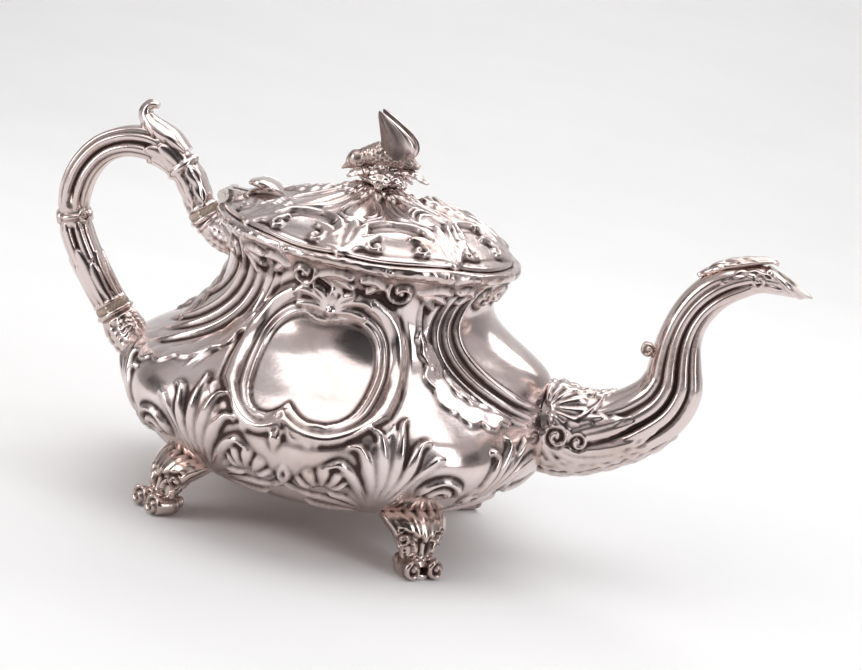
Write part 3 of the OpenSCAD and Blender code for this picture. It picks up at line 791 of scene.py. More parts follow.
def scroll_roll(centre, radius, half, eye=1.0):
    """A volute rolled about a line across the pot, with a spiral on both of its faces."""
    columns = 56
    around = np.linspace(0, 2 * math.pi, columns, endpoint=False)
    faces = [[0.05, 0.98], [0.25, 1.0], [0.5, 1.0], [0.72, 0.99], [0.9, 0.94], [1.0, 0.8]]
    face_share, face_y = flow(faces, 14).T
    shares = np.concatenate([face_share, [1.0, 1.02, 1.0], face_share[::-1]])
    sides = np.concatenate([face_y, [0.4, 0.0, -0.4], -face_y[::-1]]) * half
    skin = np.stack([centre[0] + radius * shares[:, None] * np.cos(around),
                     np.repeat(centre[1] + sides[:, None], columns, axis=1),
                     centre[2] + radius * shares[:, None] * np.sin(around)], axis=-1)
    on_axis = abs(centre[1]) < 0.01
    roll = Chasing(skin, both_sides=on_axis)
    for side in ((-1,) if on_axis else (-1, 1)):
        face = np.array([centre[0], centre[1] + side * half, centre[2]])
        roll.volute(face, 0.9 * radius, 90, 1, 0.42 * radius, 0.3 * radius * eye, 1.3)
    return roll.raised()[:2]


curl_raised, curl_recess = scroll_roll(np.array([118.4, 0.0, 97.0]), 2.7, 2.3)
curl_piece = make_skin("spout_bend_scroll_rolled", curl_raised, chased_silver, curl_recess)
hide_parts("spout_bend_scroll")
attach(curl_piece, "pot")

# ---------------------------------------------------------------------------------------------
# Handle: a cast loop with fluted sides, held in two leafy sockets on the pot. Ivory discs
# cut the heat off at both ends, each cross-pinned to the silver on either side.
# ---------------------------------------------------------------------------------------------

HANDLE_LINE = [[-67, 108.5], [-70.5, 113], [-75, 120.5], [-81, 126.5], [-88.5, 130.5], [-96.5, 132],
               [-105.5, 130.5], [-114.3, 125], [-120.3, 115.5], [-122.3, 104], [-119.8, 92.5], [-114, 82],
               [-106.5, 72], [-99.5, 63.5], [-93, 56]]
DISC = 3.0


def step_on(start, towards, far):
    """The point a given way from one point towards another."""
    start, towards = np.array(start, float), np.array(towards, float)
    return start + (towards - start) * far / np.linalg.norm(towards - start)


above_disc = step_on(HANDLE_LINE[0], HANDLE_LINE[1], DISC)
below_disc = step_on(HANDLE_LINE[13], HANDLE_LINE[14], DISC)
loop_line = [above_disc, *HANDLE_LINE[2:14]]
loop_h = [5.6, 5.7, 6.0, 6.2, 6.4, 6.0, 5.9, 6.0, 6.2, 6.3, 6.2, 6.2, 6.5]
loop_w = [6.2, 6.3, 6.4, 6.5, 6.5, 6.3, 6.2, 6.2, 6.4, 6.5, 6.5, 6.6, 6.9]
loop_skin = closed(swept(along(loop_line, loop_h, loop_w), 380, 128))
loop = Chasing(loop_skin)
for around, width, rise in ((35, 3.6, 0.8), (66, 4.0, 0.9), (114, 4.0, 0.9), (146, 3.6, 0.8)):
    loop.bead(over(loop_skin, [[0.2, around], [0.43, around], [0.66, around]]), width, rise, 0.15)
    loop.bead(over(loop_skin, [[0.71, around], [0.78, around], [0.86, around]]), width, rise, 0.15)
loop.groove(over(loop_skin, [[0.22, 90], [0.43, 90], [0.66, 90]]), 2.6, 1.6)
loop.groove(over(loop_skin, [[0.71, 90], [0.78, 92], [0.86, 96]]), 2.4, 1.5)
loop.groove(over(loop_skin, [[0.22, 50], [0.43, 50], [0.66, 50]]), 1.4, 0.8)
loop.groove(over(loop_skin, [[0.22, 130], [0.43, 130], [0.66, 130]]), 1.4, 0.8)

# Leafy sleeve with a ring near the top, a knuckle of small scrolls, and fingers that grip the end
loop.leaf(over(loop_skin, [[0.02, 70], [0.09, 60], [0.17, 66], [0.24, 84]]), 8, 1.4, 4)
loop.leaf(over(loop_skin, [[0.02, 120], [0.08, 130], [0.15, 124], [0.2, 108]]), 7, 1.2, 3)
loop.leaf(over(loop_skin, [[0.0, 0], [0.05, 0], [0.1, 0], [0.15, 0]]), 9, 1.2, 3)
for around in (30, 150):
    loop.volute(over(loop_skin, [[0.69, around]]), 2.8, 90, 1, 1.3, 1.3)
loop.bead(over(loop_skin, [[0.685, 40], [0.69, 90], [0.685, 140]]), 2.4, 1.2, 0.3)
loop.boss(over(loop_skin, [[0.69, 178]]), 2.2, 1.6)
loop.boss(over(loop_skin, [[0.69, 0]]), 2.2, 1.4)
loop.bead(ring(loop_skin, 0.15, 20), 3.4, 1.6, 0.01)
for around, far in ((20, 0.27), (48, 0.25), (76, 0.28), (104, 0.24), (132, 0.26)):
    loop.finger(over(loop_skin, [[0.16, around - 6], [0.2, around], [far, around + 3]]), 7, 1.7)
for around, far in ((0, 0.86), (32, 0.82), (62, 0.85), (92, 0.79), (120, 0.84), (150, 0.81), (180, 0.85)):
    loop.finger(over(loop_skin, [[0.985, around], [0.93, around + 5], [far, around + 1]]), 6.4, 1.3)
for share in (0.012, 0.988):
    loop.bead(ring(loop_skin, share), 1.8, 0.9, 0.01)
loop_raised, loop_recess = loop.raised()[:2]
loop_piece = make_skin("handle_loop_fluted", loop_raised, chased_silver, loop_recess, tone=0.35)
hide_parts("handle_loop")
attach(loop_piece, "pot")

# Leaf that caps the loop's top and curls up into a spur
cap_stations = along([[-79, 132.6], [-85.5, 136], [-91.5, 138], [-95.8, 140.2], [-98.3, 143], [-98.5, 145.9],
                      [-96.6, 147.8], [-94.2, 147.7]],
                     [1.8, 3.6, 4.2, 3.6, 2.8, 2.2, 1.8, 1.2], [5.4, 7.6, 7.4, 6.2, 4.6, 3.6, 2.9, 1.8])
cap_skin = closed(swept(cap_stations, 100, 64))
cap = Chasing(cap_skin)
cap.leaf(over(cap_skin, [[0.03, 0], [0.3, 0], [0.6, 0], [0.9, 0]]), 10, 1.0, 4)
for start in (0.12, 0.3, 0.48):
    cap.groove(over(cap_skin, [[start, 12], [start + 0.12, 45], [start + 0.2, 82]]), 1.1, 0.6)
cap_raised, cap_recess = cap.raised()[:2]
cap_piece = make_skin("handle_cap_leaf_chased", cap_raised, chased_silver, cap_recess)
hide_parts("handle_cap_leaf")
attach(cap_piece, "pot")

# Upper socket: a leafy sleeve out of the body, with ring mouldings next to the disc
upper_tilt = math.degrees(math.atan2(4.5, -3.5))
upper_stations = [[-53.4, 102.7, 7.4, 9.6, 180], [-58, 103.4, 6.8, 8.2, 170], [-63, 105.6, 6.6, 7.2, 150],
                  [-66.9, 108.4, 6.8, 7, upper_tilt]]
upper_skin = closed(swept(upper_stations, 90, 96))
upper = Chasing(upper_skin)
upper.bead(ring(upper_skin, 0.93), 2.2, 0.8, 0.01)
upper.groove(ring(upper_skin, 0.86), 1.2, 0.7)
upper.bead(ring(upper_skin, 0.78), 1.8, 0.6, 0.01)
for around in (0, 45, 90, 135, 180):
    upper.leaf(over(upper_skin, [[0.05, around], [0.3, around + 4], [0.7, around]]), 5.5, 1.2, 4)
upper_raised, upper_recess = upper.raised()[:2]
upper_piece = make_skin("handle_socket_upper_leafed", upper_raised, chased_silver, upper_recess)
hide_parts("handle_socket_upper")
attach(upper_piece, "pot")

# Lower socket: the same, with its leaves growing up from the belly
lower_tilt = math.degrees(math.atan2(-7.5, 6.5))
lower_stations = [[below_disc[0], below_disc[1], 7.4, 7.6, lower_tilt], [-93, 56, 7.4, 8, -42],
                  [-89.4, 52.8, 7.4, 9.6, -26], [-86.2, 50.6, 7.5, 11.8, -10]]
lower_skin = closed(swept(lower_stations, 80, 96))
lower = Chasing(lower_skin)
lower.bead(ring(lower_skin, 0.08), 2.2, 0.8, 0.01)
lower.groove(ring(lower_skin, 0.17), 1.2, 0.7)
for around in (0, 36, 72, 108, 144, 180):
    lower.leaf(over(lower_skin, [[0.95, around], [0.6, around + 4], [0.25, around]]), 5.5, 1.3, 4)
lower_raised, lower_recess = lower.raised()[:2]
lower_piece = make_skin("handle_socket_lower_leafed", lower_raised, chased_silver, lower_recess)
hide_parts("handle_socket_lower")
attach(lower_piece, "pot")


def ivory_finish():
    """Old ivory: stained brown in patches, with fine grain rings."""
    material = bpy.data.materials.new("old_ivory")
    material.use_nodes = True
    tree = material.node_tree
    nodes, link = tree.nodes, tree.links.new
    shader = nodes["Principled BSDF"]
    shader.inputs["Subsurface Weight"].default_value = 0.15
    shader.inputs["Coat Weight"].default_value = 0.25
    place = add(nodes, "ShaderNodeTexCoord")
    grain = add(nodes, "ShaderNodeTexWave", Scale=260.0, Distortion=3.0, Detail=3.0)
    stain = add(nodes, "ShaderNodeTexNoise", Scale=160.0, Detail=4.0)
    for node in (grain, stain):
        link(place.outputs["Object"], node.inputs["Vector"])
    tint = add(nodes, "ShaderNodeValToRGB")
    tint.color_ramp.elements[0].position = 0.3
    tint.color_ramp.elements[0].color = (0.22, 0.13, 0.09, 1)
    tint.color_ramp.elements[1].position = 0.62
    tint.color_ramp.elements[1].color = (0.62, 0.47, 0.38, 1)
    link(stain.outputs["Fac"], tint.inputs["Fac"])
    ringed = add(nodes, "ShaderNodeMix", data_type="RGBA", blend_type="MULTIPLY")
    ringed.inputs["Factor"].default_value = 0.25
    link(tint.outputs["Color"], ringed.inputs["A"])
    link(grain.outputs["Color"], ringed.inputs["B"])
    link(ringed.outputs["Result"], shader.inputs["Base Color"])
    worn = add(nodes, "ShaderNodeMapRange", To_Min=0.28, To_Max=0.5)
    link(stain.outputs["Fac"], worn.inputs["Value"])
    link(worn.outputs["Result"], shader.inputs["Roughness"])
    relief = add(nodes, "ShaderNodeBump", Strength=0.3, Distance=0.0002)
    link(grain.outputs["Fac"], relief.inputs["Height"])
    link(relief.outputs["Normal"], shader.inputs["Normal"])
    return material


old_ivory = ivory_finish()
for name, centre_line, radius in (("upper", (HANDLE_LINE[0], above_disc), 6.6),
                                  ("lower", (HANDLE_LINE[13], below_disc), 7.2)):
    (x0, z0), (x1, z1) = centre_line
    tilt = math.degrees(math.atan2(z1 - z0, x1 - x0))
    edge = [[0.0, 0.93], [0.06, 0.985], [0.2, 1.0], [0.5, 1.015], [0.8, 1.0], [0.94, 0.985], [1.0, 0.93]]
    stations = [[x0 + (x1 - x0) * s, z0 + (z1 - z0) * s, radius * k, radius * k, tilt] for s, k in edge]
    disc = make_skin(f"insulator_{name}_ivory", closed(swept(stations, 28, 72)), old_ivory)
    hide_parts(f"insulator_{name}")
    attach(disc, "pot")

turned_silver = silver_finish("turned_silver", (0.86, 0.81, 0.78), (0.66, 0.57, 0.52), (0.10, 0.07, 0.06),
                              0.22, 1.0)
refinish("insulator_pins", turned_silver)

# ---------------------------------------------------------------------------------------------
# Hinge: five knuckles on a drawn pin, three of them on the rim and two on a strap under the
# lid, hidden below a shell-shaped thumb leaf that is soldered to the lid.
# ---------------------------------------------------------------------------------------------

for knuckle in ("hinge_knuckles_body", "hinge_knuckles_lid", "hinge_pin"):
    refinish(knuckle, turned_silver)

thumb_stations = along([[-37.5, 124.6], [-41.5, 126.5], [-46, 127.6], [-50.8, 126.8]],
                       [1.2, 1.7, 1.6, 1.0], [5, 8, 9, 6.4])
thumb_skin = closed(swept(thumb_stations, 90, 128))
thumb = Chasing(thumb_skin)
for around in (12, 34, 56, 78):
    thumb.bead(over(thumb_skin, [[0.12, around * 0.6], [0.5, around], [0.97, around]]), 2.3, 0.9, 0.2)
    thumb.groove(over(thumb_skin, [[0.15, around * 0.6 + 10], [0.5, around + 11], [0.98, around + 11]]), 0.9,
                 0.6)
thumb.boss(over(thumb_skin, [[0.1, 0]]), 2.4, 1.2)
thumb_raised, thumb_recess = thumb.raised()[:2]
thumb_piece = make_skin("hinge_thumb_shell", thumb_raised, chased_silver, thumb_recess)
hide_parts("hinge_thumbpiece")
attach(thumb_piece, "lid")

# ---------------------------------------------------------------------------------------------
# Lid: a raised silver dome of eight soft panels, chased with ribs that run up to the finial and
# with C scrolls and leaf sprays near the edge. A plain flange soldered inside drops into the mouth.
# ---------------------------------------------------------------------------------------------

LID_COLUMNS = 540
LID_ROWS = 112
LID_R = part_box("lid_shell")[1].x / MM
LID_EDGE_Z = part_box("lid_shell")[0].z / MM
LID_RISE = 21.0
LID_SHEET = 1.7
LID_PANELS = 8
LEAN_FRONT = 5.5
LEAN_BACK = 3.0
NOTCH_X = -56.5
NOTCH_Y = 10.2


def lid_z(share, angle):
    """Height of the plain lid, by the share of its radius and the angle from the spout."""
    share = np.clip(share, 0, 1)
    x = share * np.cos(np.radians(angle))
    dome = 0.30 * np.cos(np.pi / 2 * share**3) ** 0.8 + 0.70 * (1 - share**0.9) ** 1.25
    lean = np.where(x > 0, LEAN_FRONT, LEAN_BACK) * x * np.sin(np.pi * share)
    return LID_EDGE_Z + LID_RISE * dome + lean


def edge_wave(share, angle):
    """How far the lid follows the wave of the seam, which dies out in from its edge."""
    return seam_wave(angle) * np.exp(-(((1 - share) / 0.12) ** 2))


def on_lid(points):
    """A line on the lid, from points of [degrees from the spout, share of the radius]."""
    angle, share = flow(points).T if len(points) > 1 else np.array(points, float).T
    line = polar(LID_R * share, -angle, lid_z(share, angle) + edge_wave(share, angle))
    return line if len(points) > 1 else line[0]


def notched(skin):
    """The lid's skin cut back square where the hinge stands."""
    cut = (np.abs(skin[..., 1]) < NOTCH_Y) & (skin[..., 0] < NOTCH_X)
    skin[cut, 0] = NOTCH_X
    return skin


lid_angles = np.linspace(-180, 180, LID_COLUMNS, endpoint=False)
lid_shares = np.concatenate([[0.994, 1.0], 1 - np.linspace(0.004, 0.985, LID_ROWS) ** 1.06])
lid_grid_z = lid_z(lid_shares[:, None], lid_angles)
lid_grid_z[0] = LID_EDGE_Z
lid_grid_z[1] = LID_EDGE_Z + 0.35
swell = np.sin(np.pi * np.clip(lid_shares[:, None], 0, 1)) ** 2
panels = 0.9 * np.cos(np.radians(LID_PANELS * lid_angles)) * swell
lid_grid_z += panels + edge_wave(lid_shares[:, None], lid_angles)
lid_skin = polar(LID_R * lid_shares[:, None], lid_angles, lid_grid_z)
lid = Chasing(lid_skin)

# Ribs and the reserves between them
for line in ([[64, 0.14], [66, 0.3], [62, 0.5], [50, 0.66], [36, 0.74]],
             [[116, 0.14], [114, 0.3], [118, 0.5], [130, 0.66], [144, 0.74]],
             [[24, 0.16], [22, 0.32], [20, 0.5], [26, 0.66]],
             [[156, 0.16], [158, 0.32], [160, 0.5], [154, 0.66]]):
    lid.bead(on_lid(line), 2.6, 1.7)
    lid.groove(on_lid([[angle + 5, share] for angle, share in line]), 1.5, 0.8)
    lid.bead(on_lid([[angle - 6, share + 0.03] for angle, share in line]), 1.6, 1.1)
for far, rise in ((6.5, 1.4), (9.5, 1.8), (12.5, 1.5)):
    for angle, start in ((40, 60), (140, -60)):
        lid.arc(on_lid([[angle, 0.62]]), far, start - 100, start + 100, 2.0, rise)
for line in ([[90, 0.62], [80, 0.6], [74, 0.5], [76, 0.36], [84, 0.26]],
             [[90, 0.62], [100, 0.6], [106, 0.5], [104, 0.36], [96, 0.26]]):
    lid.bead(on_lid(line), 1.9, 1.3)
    lid.groove(on_lid([[90 + 0.86 * (angle - 90), 0.95 * share] for angle, share in line]), 1.3, 0.6)

# Radiating leaves round the finial
for k in range(8):
    middle = 11 + 22.5 * k
    lid.leaf(on_lid([[middle, 0.07], [middle + 3, 0.18], [middle, 0.29]]), 7, 1.9, 3)

# Beaded edge, and plain reserves in C scrolls with leaf sprays between them
lid.bead(on_lid([[0, 0.985], [60, 0.985], [120, 0.985], [168, 0.985]]), 1.5, 0.8, 0.02)
lid.groove(on_lid([[0, 0.945], [60, 0.945], [120, 0.945], [166, 0.945]]), 1.2, 0.6)
for middle in (22, 68, 112, 158):
    lid.bead(on_lid([[middle - 13, 0.92], [middle - 18, 0.81], [middle - 13, 0.68], [middle, 0.61],
                     [middle + 13, 0.68], [middle + 18, 0.81], [middle + 13, 0.92]]), 3.0, 2.1, 0.12)
    lid.groove(on_lid([[middle - 12, 0.84], [middle - 10, 0.73], [middle, 0.68], [middle + 10, 0.73],
                       [middle + 12, 0.84]]), 1.6, 0.6)
    for way in (-1, 1):
        lid.volute(on_lid([[middle + 9.5 * way, 0.9]]), 3.3, 90, way, 1.6, 2.1, 1.2)
for middle in (0, 45, 90, 135):
    lid.leaf(on_lid([[middle, 0.98], [middle + 1, 0.86], [middle - 2, 0.68]]), 22, 1.5, 2)
    for turn, far in ((-12, 0.82), (-7, 0.73), (-1, 0.68), (6, 0.72), (11, 0.81)):
        lid.finger(on_lid([[middle + 0.2 * turn, 0.975], [middle + 0.5 * turn, 0.88], [middle + turn, far],
                           [middle + 1.4 * turn + 2, far - 0.01]]), 6.6, 2.2)
lid.leaf(on_lid([[0, 0.3], [0, 0.45], [0, 0.6], [0, 0.74]]), 11, 1.9, 5)
lid.leaf(on_lid([[180, 0.3], [180, 0.42], [180, 0.55], [180, 0.66]]), 10, 1.7, 4)
lid_raised, lid_recess, lid_matt = lid.raised()
lid_raised = notched(lid_raised)
lid_piece = make_skin("lid_chased", lid_raised, chased_silver, lid_recess, lid_matt)
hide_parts("lid_shell")
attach(lid_piece, "lid")

# The plain underside, a sheet's thickness in
COARSER = 4
under_angles = lid_angles[::COARSER]
under_shares = np.linspace(0.02, 0.975, 24)
under_z = lid_z(under_shares[:, None], under_angles) - LID_SHEET
under_z = np.maximum(under_z, LID_EDGE_Z + 0.1 + seam_wave(under_angles))
lid_under = polar(LID_R * under_shares[:, None], under_angles, under_z)
lid_under = notched(np.concatenate([lid_under, lid_raised[:1, ::COARSER]]))
under_piece = make_skin("lid_inside", lid_under, inside_silver)
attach(under_piece, "lid")
refinish("lid_bezel", inside_silver)

# ---------------------------------------------------------------------------------------------
# Finial: a small cast bird with raised wings on a perch of leaves, held to the crown by a stud
# and a nut inside the lid.
# ---------------------------------------------------------------------------------------------

CROWN_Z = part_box("finial_perch")[0].z / MM + 0.8
refinish("finial_stud", turned_silver)
refinish("finial_nut", turned_silver)

column_outline = [[7.4, -0.7], [7.8, 0.4], [6.8, 1.6], [4.9, 2.6], [4.1, 4.2], [4.6, 5.8], [4.0, 7.2],
                  [2.0, 7.9],
                  [0.3, 8.0]]


def lathe(outline, rows, columns, x=0.0, z=0.0):
    """A skin turned about an upright line, from an outline of [radius, height]."""
    r, up = flow(outline, rows).T
    around = np.linspace(0, 2 * math.pi, columns, endpoint=False)
    return np.stack([x + r[:, None] * np.cos(around), r[:, None] * np.sin(around),
                     np.repeat(z + up[:, None], columns, axis=1)], axis=-1)


column_skin = lathe(column_outline, 60, 120, z=CROWN_Z)
column = Chasing(column_skin)
for k in range(5):
    swing = 36 * k + 18
    column.leaf(over(column_skin, [[0.05, -swing], [0.3, -swing - 6], [0.62, -swing]]), 4.4, 1.3, 3)
    column.groove(over(column_skin, [[0.5, -swing - 18], [0.95, -swing - 18]]), 1.0, 0.5)
column_raised, column_recess = column.raised()[:2]
column_piece = make_skin("finial_column", column_raised, chased_silver, column_recess, tone=0.5)
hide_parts("finial_perch")
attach(column_piece, "lid")


def turned(skin, degrees):
    """The skin turned about the pot's upright axis."""
    angle = math.radians(degrees)
    x, y, z = np.moveaxis(skin, -1, 0)
    return np.stack([x * math.cos(angle) - y * math.sin(angle), x * math.sin(angle) + y * math.cos(angle),
                     z], axis=-1)


# Leaves of the perch, each as [line of x and height above the crown, half widths, turns]
perch_leaves = [([[3, 3.2], [8, 5.2], [13, 5.4], [17, 3.6], [19, 2.8]], [2, 4.2, 4.6, 3.4, 1.2], (0,)),
                ([[3, 2], [7, 3], [11, 2.2], [14, 0.4]], [2, 3.6, 3.4, 1.2], (35, -35)),
                ([[2, 3.5], [6, 3.6], [9.5, 1.2], [11, -1.8]], [2, 4.2, 3.8, 1.2], (-82, 82)),
                ([[3, 2], [7.5, 3.2], [11.5, 2], [14.5, 0.2]], [2, 4, 3.4, 1.2], (145, -145))]
blades = [(line, half_w, turn) for line, half_w, turns in perch_leaves for turn in turns]
for number, (line, half_w, turn) in enumerate(blades):
    line = [[x, CROWN_Z + z] for x, z in line]
    thick = [0.9, 1.1, 0.9, 0.5] if len(line) == 4 else [0.9, 1.2, 1.2, 0.8, 0.4]
    leaf_skin = closed(swept(along(line, thick, half_w), 60, 48))
    blade = Chasing(leaf_skin)
    blade.leaf(over(leaf_skin, [[0.05, 0], [0.5, 0], [0.97, 0]]), 2 * max(half_w), 0.8, 4)
    blade.groove(over(leaf_skin, [[0.1, 0], [0.5, 0], [0.95, 0]]), 0.9, 0.6)
    blade_raised, blade_recess = blade.raised()[:2]
    edge = 1 + 0.12 * np.cos(np.linspace(0, 10 * math.pi, blade_raised.shape[0]))[:, None]
    blade_raised[..., 1] *= edge
    leaf_piece = make_skin(f"finial_leaf_{number}", turned(blade_raised, turn), chased_silver, blade_recess,
                           tone=0.35)
    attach(leaf_piece, "lid")

# The bird, from its tail to its beak, with rows of small feathers
bird_line = [[14.4, 8.6], [11, 9.4], [6.5, 10.4], [2, 10.6], [-2.5, 9.8], [-6.2, 8.8], [-8.6, 7.6],
             [-11, 6.2],
             [-13, 4.6], [-14.6, 3], [-16.2, 1.6]]
bird_line = [[x, CROWN_Z + z] for x, z in bird_line]
bird_skin = closed(swept(along(bird_line, [1.0, 2.4, 4.0, 5.4, 5.4, 4.0, 3.6, 4.2, 3.0, 1.2, 0.4],
                               [2.6, 3.2, 4.0, 4.8, 4.8, 3.8, 3.4, 3.8, 2.7, 1.1, 0.4]), 170, 80))
bird = Chasing(bird_skin)
for row in range(11):
    for k in range(5):
        middle = 18 + 36 * k + 18 * (row % 2)
        start = 0.7 - 0.055 * row
        bird.leaf(over(bird_skin, [[start, middle], [start - 0.035, middle], [start - 0.07, middle]]), 2.7,
                  0.55, 1)
for k in range(5):
    bird.groove(over(bird_skin, [[0.2, 20 + 35 * k], [0.1, 20 + 35 * k], [0.03, 20 + 35 * k]]), 0.8, 0.4)
bird.boss(over(bird_skin, [[0.79, 62]]), 0.85, 0.6)
bird.groove(over(bird_skin, [[0.86, 40], [0.87, 90], [0.86, 140]]), 0.8, 0.5)
bird_raised, bird_recess = bird.raised()[:2]
bird_piece = make_skin("finial_bird_body", bird_raised, chased_silver, bird_recess + 0.12, tone=0.9)
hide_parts("finial_bird")
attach(bird_piece, "lid")

# Each wing is a cupped vane of feathers, from the bird's shoulder up to a pointed tip
WING_ROWS = 90
WING_COLUMNS = 96
for side, name in ((-1, "front"), (1, "back")):
    share = np.linspace(0, 1, WING_ROWS)[:, None]
    swing = np.linspace(0, 2 * math.pi, WING_COLUMNS, endpoint=False)
    chord = 6.2 * (1 - share**2.4) ** 0.75 * (1 + 0.22 * np.sin(math.pi * share)) + 0.25
    middle_x = 2.5 + 4.2 * np.sin(math.pi * share**0.8) - 7.4 * share**1.6
    across = np.cos(swing) * chord
    barbs = np.abs(np.sin(3.5 * math.pi * (np.cos(swing) + 1) / 2))
    feather = 0.26 * barbs * np.clip((share - 0.2) / 0.2, 0, 1)
    cup = 1.5 * (across / 6) ** 2 - 2.1 * np.sin(math.pi * share)
    thick = (0.75 - 0.35 * share) * np.sin(swing) + feather * np.sign(np.sin(swing))
    rolled = 1.2 * np.exp(-(((np.cos(swing) - 0.8) / 0.22) ** 2)) * np.sin(swing)
    wing = np.stack([middle_x + across, side * (3.3 - cup + 1.4 * share) + thick + rolled,
                     CROWN_Z + 8.4 + 19.4 * share + 0.16 * across * (1 - share)], axis=-1)
    # Painted shade: the half of each wing towards the handle gets a darker, warmer tone and the dark tarnish
    # colour, passed in as its tone and its recesses
    painted_wing_shade_tone = np.clip(1.15 - (np.cos(swing) + 1) * 0.75, 0, 1) + 0 * share
    shaded = 0.42 * np.clip((0.55 - np.cos(swing)) / 0.3, 0, 1) + 0 * share
    wing_piece = make_skin(f"finial_wing_{name}", closed(wing), chased_silver,
                           np.vstack([shaded[:2], shaded, shaded[-2:]]), tone=np.vstack([painted_wing_shade_tone[:2], painted_wing_shade_tone,
                                                                                         painted_wing_shade_tone[-2:]]))
    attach(wing_piece, "lid")

# ---------------------------------------------------------------------------------------------
# Feet: four cast scroll feet soldered under the belly, each a leafy leg with small scrolls above
# two volute toes. Tarnish and wear leave them browner than the body.
# ---------------------------------------------------------------------------------------------

FOOT_ANGLE = 45
TOE_REACH = 76
leg_stations = along([[TOE_REACH - 16, 22.5], [TOE_REACH - 10, 19.6], [TOE_REACH - 6, 15.5],
                      [TOE_REACH - 4.2, 11],
                      [TOE_REACH - 2.8, 7], [TOE_REACH - 0.5, 3.4]],
                     [2.6, 5.6, 5.4, 4.3, 3.6, 3.0], [15, 13.4, 10.4, 7.8, 6.8, 7])
leg_skin = closed(swept(leg_stations, 150, 112))
leg = Chasing(leg_skin)
for start, around, far in ((0.12, 0, 0.62), (0.14, 22, 0.56), (0.16, 42, 0.5), (0.14, 60, 0.44)):
    leg.finger(over(leg_skin, [[start, around], [0.3, around + 2], [far, 0.8 * around]]), 6.4, 1.7)
leg.bead(over(leg_skin, [[0.12, 78], [0.3, 74], [0.46, 74], [0.6, 82], [0.76, 86]]), 2.8, 1.8)
leg.bead(over(leg_skin, [[0.56, 60], [0.6, 40], [0.66, 30], [0.76, 32], [0.8, 46]]), 2.2, 1.5)
leg.groove(over(leg_skin, [[0.56, 14], [0.68, 12], [0.84, 14]]), 1.6, 1.0)
leg.volute(over(leg_skin, [[0.56, 62]]), 3.0, 90, 1, 1.4, 1.7)
leg.leaf(over(leg_skin, [[0.9, 100], [0.7, 110], [0.45, 120]]), 6, 1.2, 4)
leg.bead(over(leg_skin, [[0.88, 10], [0.86, 45], [0.88, 90]]), 1.8, 1.2, 0.2)
leg_raised, leg_recess = leg.raised()[:2]

# Two toes on each side of the foot, as skins with their recesses
TOE_SPREAD = 5.4
toe_skins = []
for side in (-1, 1):
    for far, z, radius, half in ((TOE_REACH - 1.0, 4.0, 3.9, 4.4), (TOE_REACH - 6.3, 5.2, 2.6, 1.6)):
        centre = np.array([-side * TOE_SPREAD, far, z])
        toe_skins.append(scroll_roll(centre, radius, half, 1.4))

# The flat pad that the foot stands on
pad_outline = [[0.2, 0.02], [3.6, 0.02], [4.4, 0.3], [4.5, 1.2], [4.2, 2.2], [0.2, 2.4]]
pad_skin = lathe(pad_outline, 22, 48, x=TOE_REACH - 1)
feet = (("foot_front_left", 180 + FOOT_ANGLE), ("foot_front_right", -FOOT_ANGLE),
        ("foot_back_left", 180 - FOOT_ANGLE), ("foot_back_right", FOOT_ANGLE))
for foot, direction in feet:
    knee = make_skin(f"{foot}_knee", turned(leg_raised, direction), chased_silver, leg_recess, tone=0.95)
    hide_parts(foot)
    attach(knee, "pot")
    for number, (rolled, toe_recess) in enumerate(toe_skins):
        toe = make_skin(f"{foot}_toe_{number}", turned(rolled, direction - 90), chased_silver, toe_recess,
                        tone=0.9)
        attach(toe, "pot")
    pad = make_skin(f"{foot}_pad", turned(pad_skin, direction), turned_silver)
    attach(pad, "pot")

# ---------------------------------------------------------------------------------------------
# Studio: a pale sweep of paper under and behind the pot, large soft lamps, and a grey room that
# the silver mirrors.
# ---------------------------------------------------------------------------------------------


def paper_finish():
    """Matt white paper with a faint tooth."""
    material = bpy.data.materials.new("pale_paper")
    material.use_nodes = True
    tree = material.node_tree
    nodes, link = tree.nodes, tree.links.new
    shader = nodes["Principled BSDF"]
    shader.inputs["Roughness"].default_value = 0.85
    fibres = add(nodes, "ShaderNodeTexNoise", Scale=90.0, Detail=4.0)
    shade = add(nodes, "ShaderNodeValToRGB")
    shade.color_ramp.elements[0].color = (0.90, 0.90, 0.90, 1)
    shade.color_ramp.elements[1].color = (0.95, 0.95, 0.95, 1)
    link(fibres.outputs["Fac"], shade.inputs["Fac"])
    link(shade.outputs["Color"], shader.inputs["Base Color"])
    return material


sweep_mesh = bpy.data.meshes.new("paper_sweep")
PAPER_REACH = 6.0
PAPER_TOP = 2.2
BEND_Y = 0.75
BEND_R = 0.6
profile = [(-PAPER_REACH, 0.0), (BEND_Y, 0.0)]
for k in range(1, 13):
    bend = k * math.pi / 24
    profile.append((BEND_Y + BEND_R * math.sin(bend), BEND_R - BEND_R * math.cos(bend)))
profile.append((BEND_Y + BEND_R, PAPER_TOP))
sweep_points = [(x, y, z) for y, z in profile for x in (-PAPER_REACH, PAPER_REACH)]
sweep_quads = [(2 * k, 2 * k + 1, 2 * k + 3, 2 * k + 2) for k in range(len(profile) - 1)]
sweep_mesh.from_pydata(sweep_points, [], sweep_quads)
sweep_mesh.polygons.foreach_set("use_smooth", [True] * len(sweep_quads))
sweep_mesh.materials.append(paper_finish())
paper_sweep = bpy.data.objects.new("paper_sweep", sweep_mesh)
bpy.context.scene.collection.objects.link(paper_sweep)


def lamp(name, place, aim, size, power, colour=(1, 1, 1)):
    """A rectangular soft lamp that faces a point."""
    light = bpy.data.lights.new(name, "AREA")
    light.shape = "RECTANGLE"
    light.size, light.size_y = size
    light.energy = power
    light.color = colour
    holder = bpy.data.objects.new(name, light)
    holder.location = place
    holder.rotation_mode = "QUATERNION"
    holder.rotation_quaternion = (Vector(aim) - Vector(place)).to_track_quat("-Z", "Y")
    bpy.context.scene.collection.objects.link(holder)


